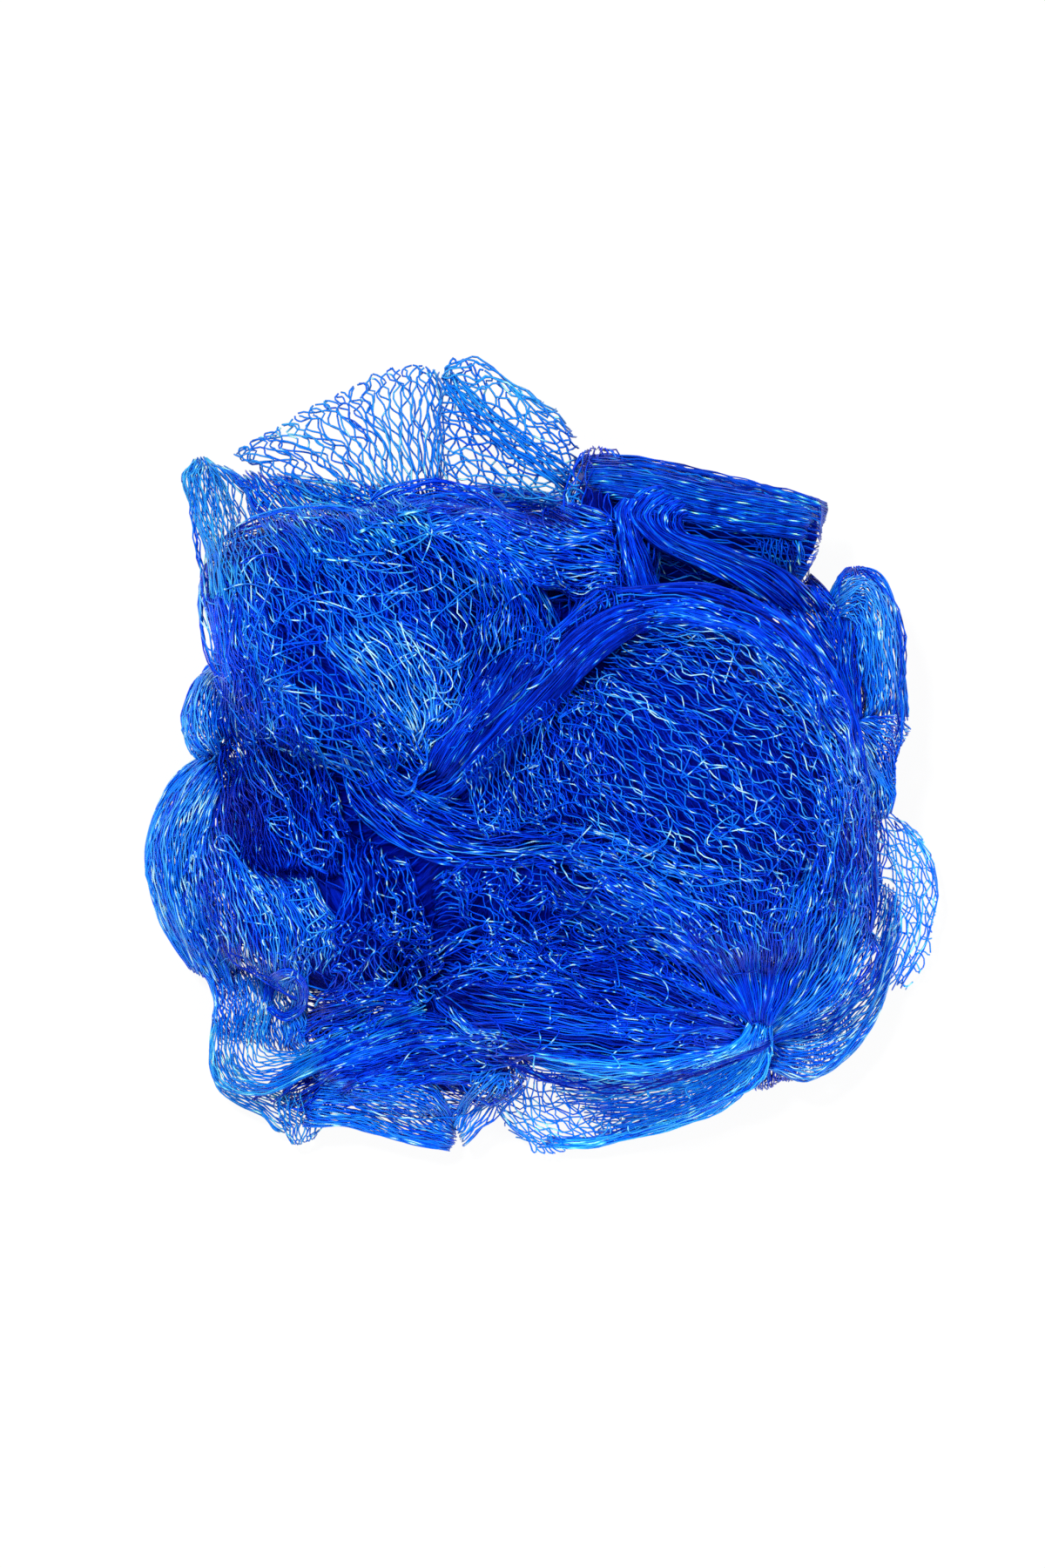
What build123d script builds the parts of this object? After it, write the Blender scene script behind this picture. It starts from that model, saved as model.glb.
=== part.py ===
from build123d import *
from dataclasses import dataclass
from math import cos, pi, radians, sin, sqrt
import os

# A pot scrubber: one length of soft diamond net, crumpled into a wad that fills the palm.
# The wad is modelled fold by fold. Every fold is drawn in to a gather at its ends and
# pleated in between, and where the net ends in a single layer it is a flat holed net.
# The origin lies under the middle of the wad on the surface that it rests on. +X is the
# right of the wad as seen from above, +Y its top and +Z is up.

# Driving dimensions of the wad, in millimetres
wad_width = 130.0
wad_depth = 130.0
wad_height = 64.0
fold_clearance = 0.3
pressed_depth = 0.5

# The net, in millimetres
strand_width = 0.4
net_thickness = 0.5
cell_width = 2.8
cell_length = 6.4

# The pleats, as shares of the outline that carries them
pleat_share = 0.10
uneven_share = 0.07
uneven_waves = 3

# The bundle drawn tight round the right lobe: its section in millimetres and its route
rim_half_width = 4.6
rim_half_height = 4.2
rim_pleats = 9
rim_start_shares = (0.085, 0.165, 0.83)
rim_middle_shares = (0.315, 0.145, 0.70)
rim_end_shares = (0.40, -0.09, 0.52)


def place(shares):
    """A point of the wad, given as shares of its width, depth and height."""
    return Vector(shares[0] * wad_width, shares[1] * wad_depth, shares[2] * wad_height)


def pleated_outline(half_width, half_height, pleats, growth=1.0, pleated=True):
    """The corners of one section: a ridge and a valley for each pleat, or the ridges alone."""
    corners = []
    for step in range(2 * pleats):
        if step % 2 and not pleated:
            continue
        angle = pi * step / pleats
        reach = 1 - uneven_share * (1 + sin(uneven_waves * angle)) / 2 if pleated else 1
        if step % 2:
            reach -= pleat_share
        corners.append((half_width * reach * growth * cos(angle), half_height * reach * growth * sin(angle)))
    return corners


@dataclass
class Fold:
    """A fold of net between two gathers, with one pleated outline that swells and shrinks."""

    name: str
    start_shares: tuple
    end_shares: tuple
    half_width_share: float
    half_height_share: float
    swell_shares: tuple
    pleats: int
    side_bow_share: float = 0.0
    rise_bow_share: float = 0.0

    def sections(self, room=0.0):
        """The outlines from gather to gather, or those of the plain space that they fill and room about it."""
        half_width = self.half_width_share * wad_width
        half_height = self.half_height_share * wad_height
        start, end = place(self.start_shares), place(self.end_shares)
        along = (end - start).normalized()
        upright = abs(along.Z) == 1
        across = Vector(1, 0, 0) if upright else Vector(0, 0, 1).cross(along).normalized()
        rise = along.cross(across)
        outlines = []
        last = len(self.swell_shares) - 1
        for station, swell in enumerate(self.swell_shares):
            share = station / last
            centre = start + (end - start) * share
            centre += across * (self.side_bow_share * wad_width * sin(pi * share))
            centre += rise * (self.rise_bow_share * wad_height * sin(pi * share))
            centre += along * (room * ((station == last) - (station == 0)))
            growth = swell + room / min(half_width, half_height)
            with BuildSketch(Plane(origin=centre, x_dir=across, z_dir=along)) as outline:
                with BuildLine():
                    corners = pleated_outline(half_width, half_height, self.pleats, growth, pleated=not room)
                    Polyline(*corners, close=True)
                make_face()
            outlines.append(outline.sketch)
        return outlines

    def body(self, room=0.0):
        """The fold's solid, or its plain space and room about it. Its outlines are alike, so each ruled face is flat."""
        ruled = loft(self.sections(room), ruled=True, mode=Mode.PRIVATE)
        return Solid(Shell([Face(face.outer_wire()) for face in ruled.faces()]))


@dataclass
class FanNet:
    """A single layer of net, spread flat like a fan from a gather inside the wad to its looped edge."""

    name: str
    hub_shares: tuple
    root_radius_share: float
    edge_radius_share: float
    direction: float
    spread: float
    root_height_share: float
    edge_height_share: float
    rows: int

    def radii(self):
        """The radius of the gathered root and of the looped edge."""
        return self.root_radius_share * wad_width, self.edge_radius_share * wad_width

    def plane(self):
        """The net's own plane: x runs out along the middle of the fan, level or rising to its edge."""
        root, edge = self.radii()
        climb = (self.edge_height_share - self.root_height_share) * wad_height
        slope = climb / (edge - root)
        hub = place((*self.hub_shares, self.root_height_share)) - Vector(0, 0, slope * root)
        heading = Vector(cos(radians(self.direction)), sin(radians(self.direction)), slope)
        level = Vector(-sin(radians(self.direction)), cos(radians(self.direction)), 0)
        return Plane(origin=hub, x_dir=heading, z_dir=heading.cross(level))

    def columns(self):
        """How many cells stand side by side, at their own width half way out."""
        root, edge = self.radii()
        return round(radians(self.spread) * (root + edge) / 2 / cell_width)

    def knot(self, row, column, outward=0.0, sideward=0.0):
        """A point of the net at a row and column of knots, moved out or sideways by a length."""
        root, edge = self.radii()
        radius = root + (edge - root) * row / self.rows + outward
        angle = radians(self.spread) * (column / self.columns() - 1 / 2) + sideward / radius
        return radius * cos(angle), radius * sin(angle)

    def rim(self):
        """The net's scalloped outline: zigzags out to the half strand beyond the outer knots."""
        columns, rows = self.columns(), self.rows
        half_pitch = cell_width / 2
        half_length = cell_length / 2
        side = sqrt(half_pitch**2 + half_length**2)
        out = strand_width / 2 * side / half_pitch
        aside = strand_width / 2 * side / half_length
        left = [(row, row % 2 / 2) for row in range(1, rows)]
        edge = [(rows - step % 2, 1 + step / 2) for step in range(2 * columns - 3)]
        points = [self.knot(row, column, 0, -aside) for row, column in left[:-1]]
        points.append(self.knot(rows - 1, 1 / 2, out, -aside))
        points += [self.knot(row, column, out, 0) for row, column in edge]
        points.append(self.knot(rows - 1, columns - 1 / 2, out, aside))
        points += [self.knot(row, columns - column, 0, aside) for row, column in reversed(left[:-1])]
        points += [self.knot(rows - row, columns - column, -out, 0) for row, column in edge]
        return points

    def gap(self, row, column):
        """One diamond gap about a row and column, drawn in by half a strand all round."""
        knots = [(row - 1, column), (row, column + 1 / 2), (row + 1, column), (row, column - 1 / 2)]
        corners = [self.knot(*knot) for knot in knots]
        middle = [sum(corner[axis] for corner in corners) / len(corners) for axis in range(2)]
        reach = [sqrt(sum((a - b) ** 2 for a, b in zip(corners[i], corners[i + 2]))) / 2 for i in range(2)]
        open_share = 1 - strand_width / 2 * sqrt(reach[0] ** 2 + reach[1] ** 2) / (reach[0] * reach[1])
        return [tuple(m + (c - m) * open_share for c, m in zip(corner, middle)) for corner in corners]

    def gaps(self):
        """Every diamond gap, row by row, each row half a cell aside from the last."""
        shift = [(row, 1 / 2 if row % 2 == 0 else 1) for row in range(1, self.rows)]
        return [self.gap(row, first + step) for row, first in shift for step in range(self.columns() - row % 2)]


def near(box, other):
    """True where two boxes meet, so that it is worth cutting one shape by the other."""
    return all(
        low <= high
        for low, high in (
            (box.min.X, other.max.X), (other.min.X, box.max.X),
            (box.min.Y, other.max.Y), (other.min.Y, box.max.Y),
            (box.min.Z, other.max.Z), (other.min.Z, box.max.Z),
        )
    )


def in_the_way(shape, laid):
    """The rooms of the folds laid before this one that it would run into."""
    box = shape.bounding_box()
    return [room for room in laid if near(box, room.bounding_box())]


def whole_body(shape):
    """The one body that the neighbours left whole, without the crumbs that they cut off."""
    return shape.solids().sort_by(SortBy.VOLUME)[-1]


def finish_node(piece, name):
    """Labels a finished piece and writes it."""
    piece.part.label = name
    export_step(piece.part, f"parts/{name}.step")
    print(f"{name:20s} volume {piece.part.volume:9.1f}  faces {len(piece.part.faces()):4d}")


os.makedirs("parts", exist_ok=True)
laid = []

# The two great lobes on top, which every other fold makes room for

front_lobes = (
    Fold("front_right_lobe", pleats=30, half_width_share=0.205, half_height_share=0.40,
         start_shares=(-0.025, 0.115, 0.60), end_shares=(0.40, -0.235, 0.42), rise_bow_share=0.08,
         swell_shares=(0.30, 0.66, 0.90, 1.0, 0.98, 0.84, 0.56, 0.22)),
    Fold("front_left_lobe", pleats=26, half_width_share=0.155, half_height_share=0.34,
         start_shares=(-0.405, 0.245, 0.46), end_shares=(-0.005, -0.01, 0.66), rise_bow_share=0.12,
         swell_shares=(0.34, 0.72, 0.95, 1.0, 0.92, 0.66, 0.34, 0.18)),
)

# The folds that fill the wad round them, each drawn in at its ends

side_folds = (
    Fold("crossing_bundle", pleats=11, half_width_share=0.045, half_height_share=0.115,
         start_shares=(-0.22, -0.10, 0.72), end_shares=(0.087, 0.175, 0.84), rise_bow_share=0.03,
         swell_shares=(0.55, 0.8, 1.0, 1.0, 0.85, 0.7)),
    Fold("bottom_lobe", pleats=22, half_width_share=0.115, half_height_share=0.33,
         start_shares=(-0.135, -0.265, 0.42), end_shares=(0.29, -0.355, 0.36), rise_bow_share=0.10,
         swell_shares=(0.55, 0.85, 1.0, 0.92, 0.6, 0.22)),
    Fold("lower_left_lobe", pleats=20, half_width_share=0.13, half_height_share=0.34,
         start_shares=(-0.375, -0.03, 0.38), end_shares=(-0.20, -0.31, 0.30), rise_bow_share=0.12,
         swell_shares=(0.45, 0.85, 1.0, 0.95, 0.72, 0.4)),
    Fold("upper_fold", pleats=18, half_width_share=0.059, half_height_share=0.20,
         start_shares=(0.055, 0.3245, 0.50), end_shares=(0.342, 0.263, 0.44),
         swell_shares=(0.85, 0.97, 1.0, 1.0, 0.98, 0.92)),
    Fold("top_centre_fold", pleats=15, half_width_share=0.070, half_height_share=0.26,
         start_shares=(-0.28, 0.265, 0.48), end_shares=(0.085, 0.215, 0.60), rise_bow_share=0.06,
         swell_shares=(0.5, 0.85, 1.0, 0.95, 0.75, 0.4)),
    Fold("neck_fold", pleats=14, half_width_share=0.065, half_height_share=0.22,
         start_shares=(0.07, 0.37, 0.42), end_shares=(0.095, 0.17, 0.62),
         swell_shares=(0.4, 0.8, 1.0, 0.9, 0.6)),
    Fold("lower_rim_bundle", pleats=8, half_width_share=0.034, half_height_share=0.10,
         start_shares=(-0.21, -0.07, 0.62), end_shares=(0.25, -0.165, 0.64), side_bow_share=-0.02,
         swell_shares=(0.6, 0.9, 1.0, 1.0, 0.8, 0.5)),
    Fold("right_ear", pleats=13, half_width_share=0.052, half_height_share=0.20,
         start_shares=(0.395, 0.235, 0.36), end_shares=(0.425, -0.07, 0.30), side_bow_share=0.005,
         swell_shares=(0.35, 0.9, 1.0, 0.85, 0.8, 0.5, 0.42)),
    Fold("right_side_fold", pleats=14, half_width_share=0.070, half_height_share=0.24,
         start_shares=(0.375, 0.03, 0.26), end_shares=(0.335, -0.31, 0.22), side_bow_share=0.010,
         swell_shares=(0.4, 0.8, 1.0, 0.95, 0.7, 0.35)),
    Fold("bottom_right_fold", pleats=14, half_width_share=0.07, half_height_share=0.22,
         start_shares=(0.265, -0.362, 0.30), end_shares=(0.40, -0.21, 0.34),
         swell_shares=(0.3, 0.65, 0.95, 1.0, 0.7)),
    Fold("left_side_fold", pleats=13, half_width_share=0.058, half_height_share=0.26,
         start_shares=(-0.38, 0.20, 0.34), end_shares=(-0.318, -0.02, 0.34),
         swell_shares=(0.45, 0.85, 1.0, 0.9, 0.6)),
    Fold("left_ear", pleats=8, half_width_share=0.032, half_height_share=0.11,
         start_shares=(-0.43, 0.372, 0.34), end_shares=(-0.382, 0.17, 0.40),
         swell_shares=(0.45, 0.8, 1.0, 1.0, 0.8)),
    Fold("left_bulge", pleats=8, half_width_share=0.04, half_height_share=0.15,
         start_shares=(-0.41, 0.115, 0.26), end_shares=(-0.425, -0.01, 0.22),
         swell_shares=(0.35, 0.72, 0.98, 0.9, 0.5)),
    Fold("left_roll", pleats=13, half_width_share=0.065, half_height_share=0.20,
         start_shares=(-0.40, -0.005, 0.22), end_shares=(-0.41, -0.275, 0.19), side_bow_share=-0.035,
         swell_shares=(0.45, 0.85, 1.0, 1.0, 0.8, 0.4)),
    Fold("bottom_left_fold", pleats=15, half_width_share=0.08, half_height_share=0.21,
         start_shares=(-0.32, -0.325, 0.21), end_shares=(-0.085, -0.435, 0.17),
         swell_shares=(0.45, 0.85, 1.0, 0.95, 0.75, 0.4)),
    Fold("bottom_centre_fold", pleats=13, half_width_share=0.07, half_height_share=0.24,
         start_shares=(-0.19, -0.22, 0.34), end_shares=(-0.045, -0.43, 0.22),
         swell_shares=(0.5, 0.85, 1.0, 0.9, 0.55)),
    Fold("back_fold", pleats=18, half_width_share=0.10, half_height_share=0.24,
         start_shares=(-0.34, 0.24, 0.22), end_shares=(0.33, 0.235, 0.22),
         swell_shares=(0.3, 0.7, 0.95, 1.0, 1.0, 0.9, 0.5)),
)

# The pressed underside that the wad rests on, and the rolled heart under the lobes

inner_folds = (
    Fold("base_fold", pleats=26, half_width_share=0.385, half_height_share=0.70,
         start_shares=(-0.02, -0.03, -pressed_depth / wad_height), end_shares=(-0.02, -0.03, 0.26),
         swell_shares=(0.88, 1.0, 0.96, 0.80)),
    Fold("heart_roll", pleats=22, half_width_share=0.31, half_height_share=0.58,
         start_shares=(-0.02, -0.01, 0.262), end_shares=(-0.02, -0.01, 0.74),
         swell_shares=(0.92, 1.0, 0.90, 0.62)),
)

for fold in front_lobes:
    with BuildPart() as lobe:
        add(fold.body())
        add(in_the_way(lobe.part, laid), mode=Mode.SUBTRACT)
        add(whole_body(lobe.part), mode=Mode.REPLACE)
    finish_node(lobe, fold.name)
    laid.append(fold.body(room=fold_clearance))

# The bundle that is drawn tight round the top of the right lobe, swept along one arc

rim_start = place(rim_start_shares)
rim_middle = place(rim_middle_shares)
rim_end = place(rim_end_shares)

with BuildPart() as lobe_rim:
    with BuildLine():
        rim_arc = ThreePointArc(rim_start, rim_middle, rim_end)
    with BuildSketch(Plane(origin=rim_arc @ 0, z_dir=rim_arc % 0)):
        with BuildLine():
            Polyline(*pleated_outline(rim_half_width, rim_half_height, rim_pleats), close=True)
        make_face()
    sweep()
    add(in_the_way(lobe_rim.part, laid), mode=Mode.SUBTRACT)
    add(whole_body(lobe_rim.part), mode=Mode.REPLACE)

with BuildPart() as rim_room:
    with BuildSketch(Plane(origin=rim_arc @ 0, z_dir=rim_arc % 0)):
        Ellipse(rim_half_width + fold_clearance, rim_half_height + fold_clearance)
    sweep(path=rim_arc)

finish_node(lobe_rim, "lobe_rim")
laid.append(rim_room.part)

for fold in side_folds + inner_folds:
    with BuildPart() as piece:
        add(fold.body())
        split(bisect_by=Plane.XY, keep=Keep.TOP)
        add(in_the_way(piece.part, laid), mode=Mode.SUBTRACT)
        add(whole_body(piece.part), mode=Mode.REPLACE)
    finish_node(piece, fold.name)
    laid.append(fold.body(room=fold_clearance))

# The single layers that spread out of the wad, each one holed face

fan_nets = (
    FanNet("top_fan", hub_shares=(-0.052, -0.066), direction=113, spread=27, rows=8,
           root_radius_share=0.345, edge_radius_share=0.552,
           root_height_share=0.50, edge_height_share=0.46),
    FanNet("top_hood", hub_shares=(-0.089, 0.25), direction=71, spread=56, rows=8,
           root_radius_share=0.050, edge_radius_share=0.230,
           root_height_share=0.62, edge_height_share=0.56),
    FanNet("lower_left_flap", hub_shares=(-0.242, -0.29), direction=229, spread=66, rows=4,
           root_radius_share=0.090, edge_radius_share=0.196,
           root_height_share=0.20, edge_height_share=0.10),
    FanNet("bottom_skirt", hub_shares=(0.087, -0.148), direction=276, spread=60, rows=6,
           root_radius_share=0.215, edge_radius_share=0.342,
           root_height_share=0.22, edge_height_share=0.10),
    FanNet("right_skirt", hub_shares=(0.262, -0.159), direction=-19, spread=78, rows=4,
           root_radius_share=0.130, edge_radius_share=0.234,
           root_height_share=0.20, edge_height_share=0.12),
)

for net in fan_nets:
    with BuildPart() as sheet:
        with BuildSketch(net.plane()):
            with BuildLine():
                Polyline(*net.rim(), close=True)
            make_face()
            gaps = [Polygon(*corners, align=None, mode=Mode.PRIVATE) for corners in net.gaps()]
            add(gaps, mode=Mode.SUBTRACT)
        extrude(amount=net_thickness / 2, both=True)
        add(in_the_way(sheet.part, laid), mode=Mode.SUBTRACT)
        add(whole_body(sheet.part), mode=Mode.REPLACE)
    with BuildPart() as sheet_room:
        with BuildSketch(net.plane()):
            with BuildLine():
                Polyline(*net.rim(), close=True)
            make_face()
        extrude(amount=net_thickness / 2 + fold_clearance, both=True)
    laid.append(sheet_room.part)
    finish_node(sheet, net.name)
    print(f"{net.name:20s} gaps {len(net.gaps())}")
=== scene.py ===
"""Looks of a pot scrubber: a crumpled wad of glossy blue plastic net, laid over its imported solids.

Every fold of the wad is a surface of two parameters: u runs along the strands, from gather to
gather, and v runs across them. The net's filaments follow that surface in a zigzag, so that
neighbours touch at their knots and leave diamonds between them.
"""

import logging
import math
from dataclasses import dataclass, field
from enum import Enum
from typing import ClassVar

import bpy
import numpy as np
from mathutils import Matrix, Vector


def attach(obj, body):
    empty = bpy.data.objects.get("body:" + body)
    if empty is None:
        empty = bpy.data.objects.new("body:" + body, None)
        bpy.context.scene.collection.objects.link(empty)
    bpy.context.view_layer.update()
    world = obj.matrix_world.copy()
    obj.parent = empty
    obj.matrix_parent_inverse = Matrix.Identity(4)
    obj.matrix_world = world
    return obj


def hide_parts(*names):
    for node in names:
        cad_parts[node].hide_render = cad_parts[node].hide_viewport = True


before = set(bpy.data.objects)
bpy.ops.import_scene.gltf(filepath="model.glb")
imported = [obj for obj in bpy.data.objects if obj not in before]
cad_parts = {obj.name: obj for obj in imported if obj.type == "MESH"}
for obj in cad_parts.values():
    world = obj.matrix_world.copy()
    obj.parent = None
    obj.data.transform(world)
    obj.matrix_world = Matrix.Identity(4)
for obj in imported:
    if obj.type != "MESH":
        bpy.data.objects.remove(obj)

log = logging.getLogger("pot_scrubber")

BODY = "root"
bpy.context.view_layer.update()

# The wad's size in metres. The photograph gives its width and depth once a scale is chosen.
WAD_WIDTH = 0.130
WAD_DEPTH = 0.130
WAD_HEIGHT = 0.064

# The scale at the studio's focus height, the wad's middle and the frame's size, the last two in pixels.
PIXELS_PER_METRE = 7020.0
PHOTO_MIDDLE = (621.0, 865.0)
PHOTO_SIZE = (1200.0, 1800.0)

# Lengths in metres. SHORTEST keeps a division from failing.
MILLIMETRE = 0.001
FILAMENT_RADIUS = 0.00015
FLOOR_GAP = 0.0001
LAYER_GAP = 0.0012
SHORTEST = 1e-12

# Shades: how far single strands stray at random, what a full painted glint adds, and the painted shade that
# darkens each lower layer.
SHADE_SPREAD = 0.22
PAINTED_GLINT_STEP = 1.3
LAYER_PAINTED_SHADE = 0.3

FULL_TURN = 2 * math.pi
UP = (0, 0, 1.0)

Spot = tuple[float, float]
Triple = tuple[float, float, float]
Guides = tuple[tuple[Spot, ...], ...]


def place(shares: Triple) -> np.ndarray:
    """A point of the wad in metres, given as shares of its width, depth and height.

    Args:
        shares: The point's x, y and z, each as a share of the wad's size that way.

    Returns:
        The point in the row frame.
    """
    return np.array(shares) * (WAD_WIDTH, WAD_DEPTH, WAD_HEIGHT)


def unit(vectors: np.ndarray) -> np.ndarray:
    """The same vectors, each divided by its own length."""
    return vectors / np.maximum(np.linalg.norm(vectors, axis=-1, keepdims=True), SHORTEST)


def spline(before: np.ndarray, here: np.ndarray, there: np.ndarray, after: np.ndarray,
           t: np.ndarray) -> np.ndarray:
    """The cubic from one value to the next, with the slope of each one's two neighbours.

    Args:
        before: The value before the stretch.
        here: The value that the stretch starts from.
        there: The value that it ends at.
        after: The value after the stretch.
        t: Places along the stretch, 0 to 1.

    Returns:
        The cubic's values at those places.
    """
    return 0.5 * (
        2 * here
        + (there - before) * t
        + (2 * before - 5 * here + 4 * there - after) * t**2
        + (3 * here - before - 3 * there + after) * t**3
    )


def smooth_through(values: np.ndarray, at: np.ndarray) -> np.ndarray:
    """Values between evenly spaced ones, on the smooth curve that passes through each.

    Args:
        values: One row for each station, first axis along the curve.
        at: Places from 0 to 1.

    Returns:
        The curve's rows at those places.
    """
    values = np.asarray(values, float)
    last = len(values) - 1
    scaled = np.clip(at, 0, 1) * last
    left = np.minimum(scaled.astype(int), last - 1)
    t = scaled - left
    if values.ndim > 1:
        t = t[..., None]
    before, after = values[np.maximum(left - 1, 0)], values[np.minimum(left + 2, last)]
    return spline(before, values[left], values[left + 1], after, t)


def on_ellipse(centre: np.ndarray, across: np.ndarray, rise: np.ndarray, half_width: np.ndarray,
               half_height: np.ndarray, turn: np.ndarray) -> np.ndarray:
    """Points of ellipses.

    Args:
        centre: Each one's middle.
        across: The direction of its width.
        rise: The direction of its height.
        half_width: Half of its width.
        half_height: Half of its height.
        turn: The angle of the point wanted, from its width.

    Returns:
        One point of each.
    """
    aside = across * (half_width * np.cos(turn))[..., None]
    return centre + aside + rise * (half_height * np.sin(turn))[..., None]


@dataclass
class Crumple:
    """Slow random waves over a surface, the same each run.

    Attributes:
        seed: What the waves are drawn from.
        height: The largest swing, in metres or as a share, as its user takes it.
        waves: How many waves are summed.
        finest: The most waves across the surface.
    """

    seed: int
    height: float
    waves: int = 9
    finest: int = 5

    SLOW_ALONG: ClassVar[float] = 0.4
    SLOW_ACROSS: ClassVar[float] = 0.3
    FALL: ClassVar[float] = 0.35

    def at(self, u: np.ndarray, v: np.ndarray, turns: bool = True) -> np.ndarray:
        """The sum of sines, each with its own phase and rates, and a height that falls with its rates.

        Args:
            u: The place along.
            v: The place across.
            turns: Whether each wave runs a whole number of times across, so that it closes on itself.

        Returns:
            The swing at each place.
        """
        rng = np.random.default_rng(self.seed)
        total = np.zeros(np.broadcast(u, v).shape)
        for _ in range(self.waves):
            along = rng.uniform(self.SLOW_ALONG, self.finest)
            across = rng.integers(0, self.finest + 1) if turns else rng.uniform(self.SLOW_ACROSS, self.finest)
            phase = rng.uniform(0, FULL_TURN)
            fall = 1 + self.FALL * (along + across)
            total = total + np.sin(FULL_TURN * (along * u + across * v) + phase) / fall
        return self.height * total / math.sqrt(self.waves)


class WaveSet(Enum):
    """Sets of crumple waves, each as what it adds to its user's seed, its number of waves and its finest."""

    BUMPS = (5, 11, 7)
    WANDER = (50, 9, 4)
    OPENNESS = (70, 9, 6)
    STRAY = (90, 7, 9)
    GLINT = (130, 8, 3)

    def at(self, seed: int, u: np.ndarray, v: np.ndarray) -> np.ndarray:
        """The waves that a seed gives at each place, as in Crumple.at but about 1 high and open across."""
        offset, waves, finest = self.value
        return Crumple(seed + offset, 1.0, waves, finest).at(u, v, turns=False)


@dataclass
class FoldSurface:
    """A gathered fold: an ellipse carried along a bowed line, swelling and shrinking, with pleats along it.

    Attributes:
        start_shares: The first gather, as shares of the wad.
        end_shares: The last gather, as shares of the wad.
        half_width_share: Half of the ellipse across, of the wad's width.
        half_height_share: Half of the ellipse up, of the wad's height.
        swell_shares: The ellipse's size at even stations, of its largest.
        pleats: Ridges round the fold.
        side_bow_share: How far the line bows aside, of the wad's width.
        rise_bow_share: How far the line bows up, of the wad's height.
        pleat_share: The pleats' depth, of the ellipse.
        twist: How far the strands turn round the fold, in turns.
        crumple: The waves of its size.
    """

    start_shares: Triple
    end_shares: Triple
    half_width_share: float
    half_height_share: float
    swell_shares: tuple[float, ...]
    pleats: int
    side_bow_share: float = 0.0
    rise_bow_share: float = 0.0
    pleat_share: float = 0.09
    twist: float = 0.04
    crumple: Crumple = field(kw_only=True)

    UPRIGHT: ClassVar[float] = 0.99
    LEAST_SWELL: ClassVar[float] = 0.08
    LEAST_HALF: ClassVar[float] = 0.0004
    ROUNDED_FROM: ClassVar[float] = 0.93
    ROUNDED_END: ClassVar[float] = 0.07
    END_DROP: ClassVar[float] = 10
    PLEAT_DRIFT: ClassVar[float] = 0.7
    DRIFT_TURNS: ClassVar[float] = 3.1

    def point(self, u: np.ndarray, v: np.ndarray, inset: float = 0.0) -> np.ndarray:
        """Centre line plus the ellipse at turn v, times swell, pleat and crumple, less the inset.

        Args:
            u: Along the fold, 0 to 1.
            v: Round the fold, in turns from its side.
            inset: How far inside the surface, in metres.

        Returns:
            Points in the row frame, one for each pair.
        """
        u, v = np.broadcast_arrays(u, v)
        start, end = place(self.start_shares), place(self.end_shares)
        along = unit(end - start)
        across = np.array((1.0, 0.0, 0.0)) if abs(along[2]) > self.UPRIGHT else unit(np.cross(UP, along))
        rise = np.cross(along, across)
        swell = np.maximum(smooth_through(np.array(self.swell_shares), u), self.LEAST_SWELL)
        into_end = np.clip(np.abs(2 * u - 1) - self.ROUNDED_FROM, 0, self.ROUNDED_END)
        swell = swell * np.sqrt(1 - into_end * self.END_DROP)
        turn = FULL_TURN * (v + self.twist * (u - 0.5))
        drift = self.PLEAT_DRIFT * np.sin(self.DRIFT_TURNS * math.pi * u + self.pleats)
        ridge = 0.5 + 0.5 * np.cos(self.pleats * turn + drift)
        size = swell * (1 - self.pleat_share * (1 - ridge)) * (1 + self.crumple.at(u, v))
        half_width = np.maximum(self.half_width_share * WAD_WIDTH * size - inset, self.LEAST_HALF)
        half_height = np.maximum(self.half_height_share * WAD_HEIGHT * size - inset, self.LEAST_HALF)
        bow = np.sin(math.pi * u)[..., None]
        centre = start + (end - start) * u[..., None]
        centre = centre + across * (self.side_bow_share * WAD_WIDTH) * bow
        centre = centre + rise * (self.rise_bow_share * WAD_HEIGHT) * bow
        return on_ellipse(centre, across, rise, half_width, half_height, turn)


@dataclass
class RopeSurface:
    """Net drawn tight into a rope: an ellipse carried along a smooth curve through points of the wad.

    Attributes:
        route_shares: The points of the curve, as shares of the wad.
        half_width: Half of the ellipse in the level direction, in metres.
        half_height: Half of the ellipse in the other, in metres.
        swell_shares: Its size at even stations.
        twist: Turns of the strands along the whole rope.
        crumple: The waves of its size.
    """

    route_shares: tuple[Triple, ...]
    half_width: float
    half_height: float
    swell_shares: tuple[float, ...]
    twist: float = 0.35
    crumple: Crumple = field(default_factory=lambda: Crumple(2, 0.12))

    LEAST_HALF: ClassVar[float] = 0.0003
    SLOPE_STEP: ClassVar[float] = 1e-3

    def point(self, u: np.ndarray, v: np.ndarray, inset: float = 0.0) -> np.ndarray:
        """The curve's point at u, plus the ellipse at turn v square to the curve there.

        Args:
            u: Along the rope, 0 to 1.
            v: Round the rope, in turns from its side.
            inset: How far inside the surface, in metres.

        Returns:
            Points in the row frame, one for each pair.
        """
        u, v = np.broadcast_arrays(u, v)
        route = np.array([place(shares) for shares in self.route_shares])
        centre = smooth_through(route, u)
        ahead = smooth_through(route, np.minimum(u + self.SLOPE_STEP, 1))
        along = unit(ahead - smooth_through(route, np.maximum(u - self.SLOPE_STEP, 0)))
        across = unit(np.cross(UP, along))
        rise = np.cross(along, across)
        turn = FULL_TURN * (v + self.twist * u)
        size = smooth_through(np.array(self.swell_shares), u) * (1 + self.crumple.at(u, v))
        half_width = np.maximum(self.half_width * size - inset, self.LEAST_HALF)
        half_height = np.maximum(self.half_height * size - inset, self.LEAST_HALF)
        return on_ellipse(centre, across, rise, half_width, half_height, turn)


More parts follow.
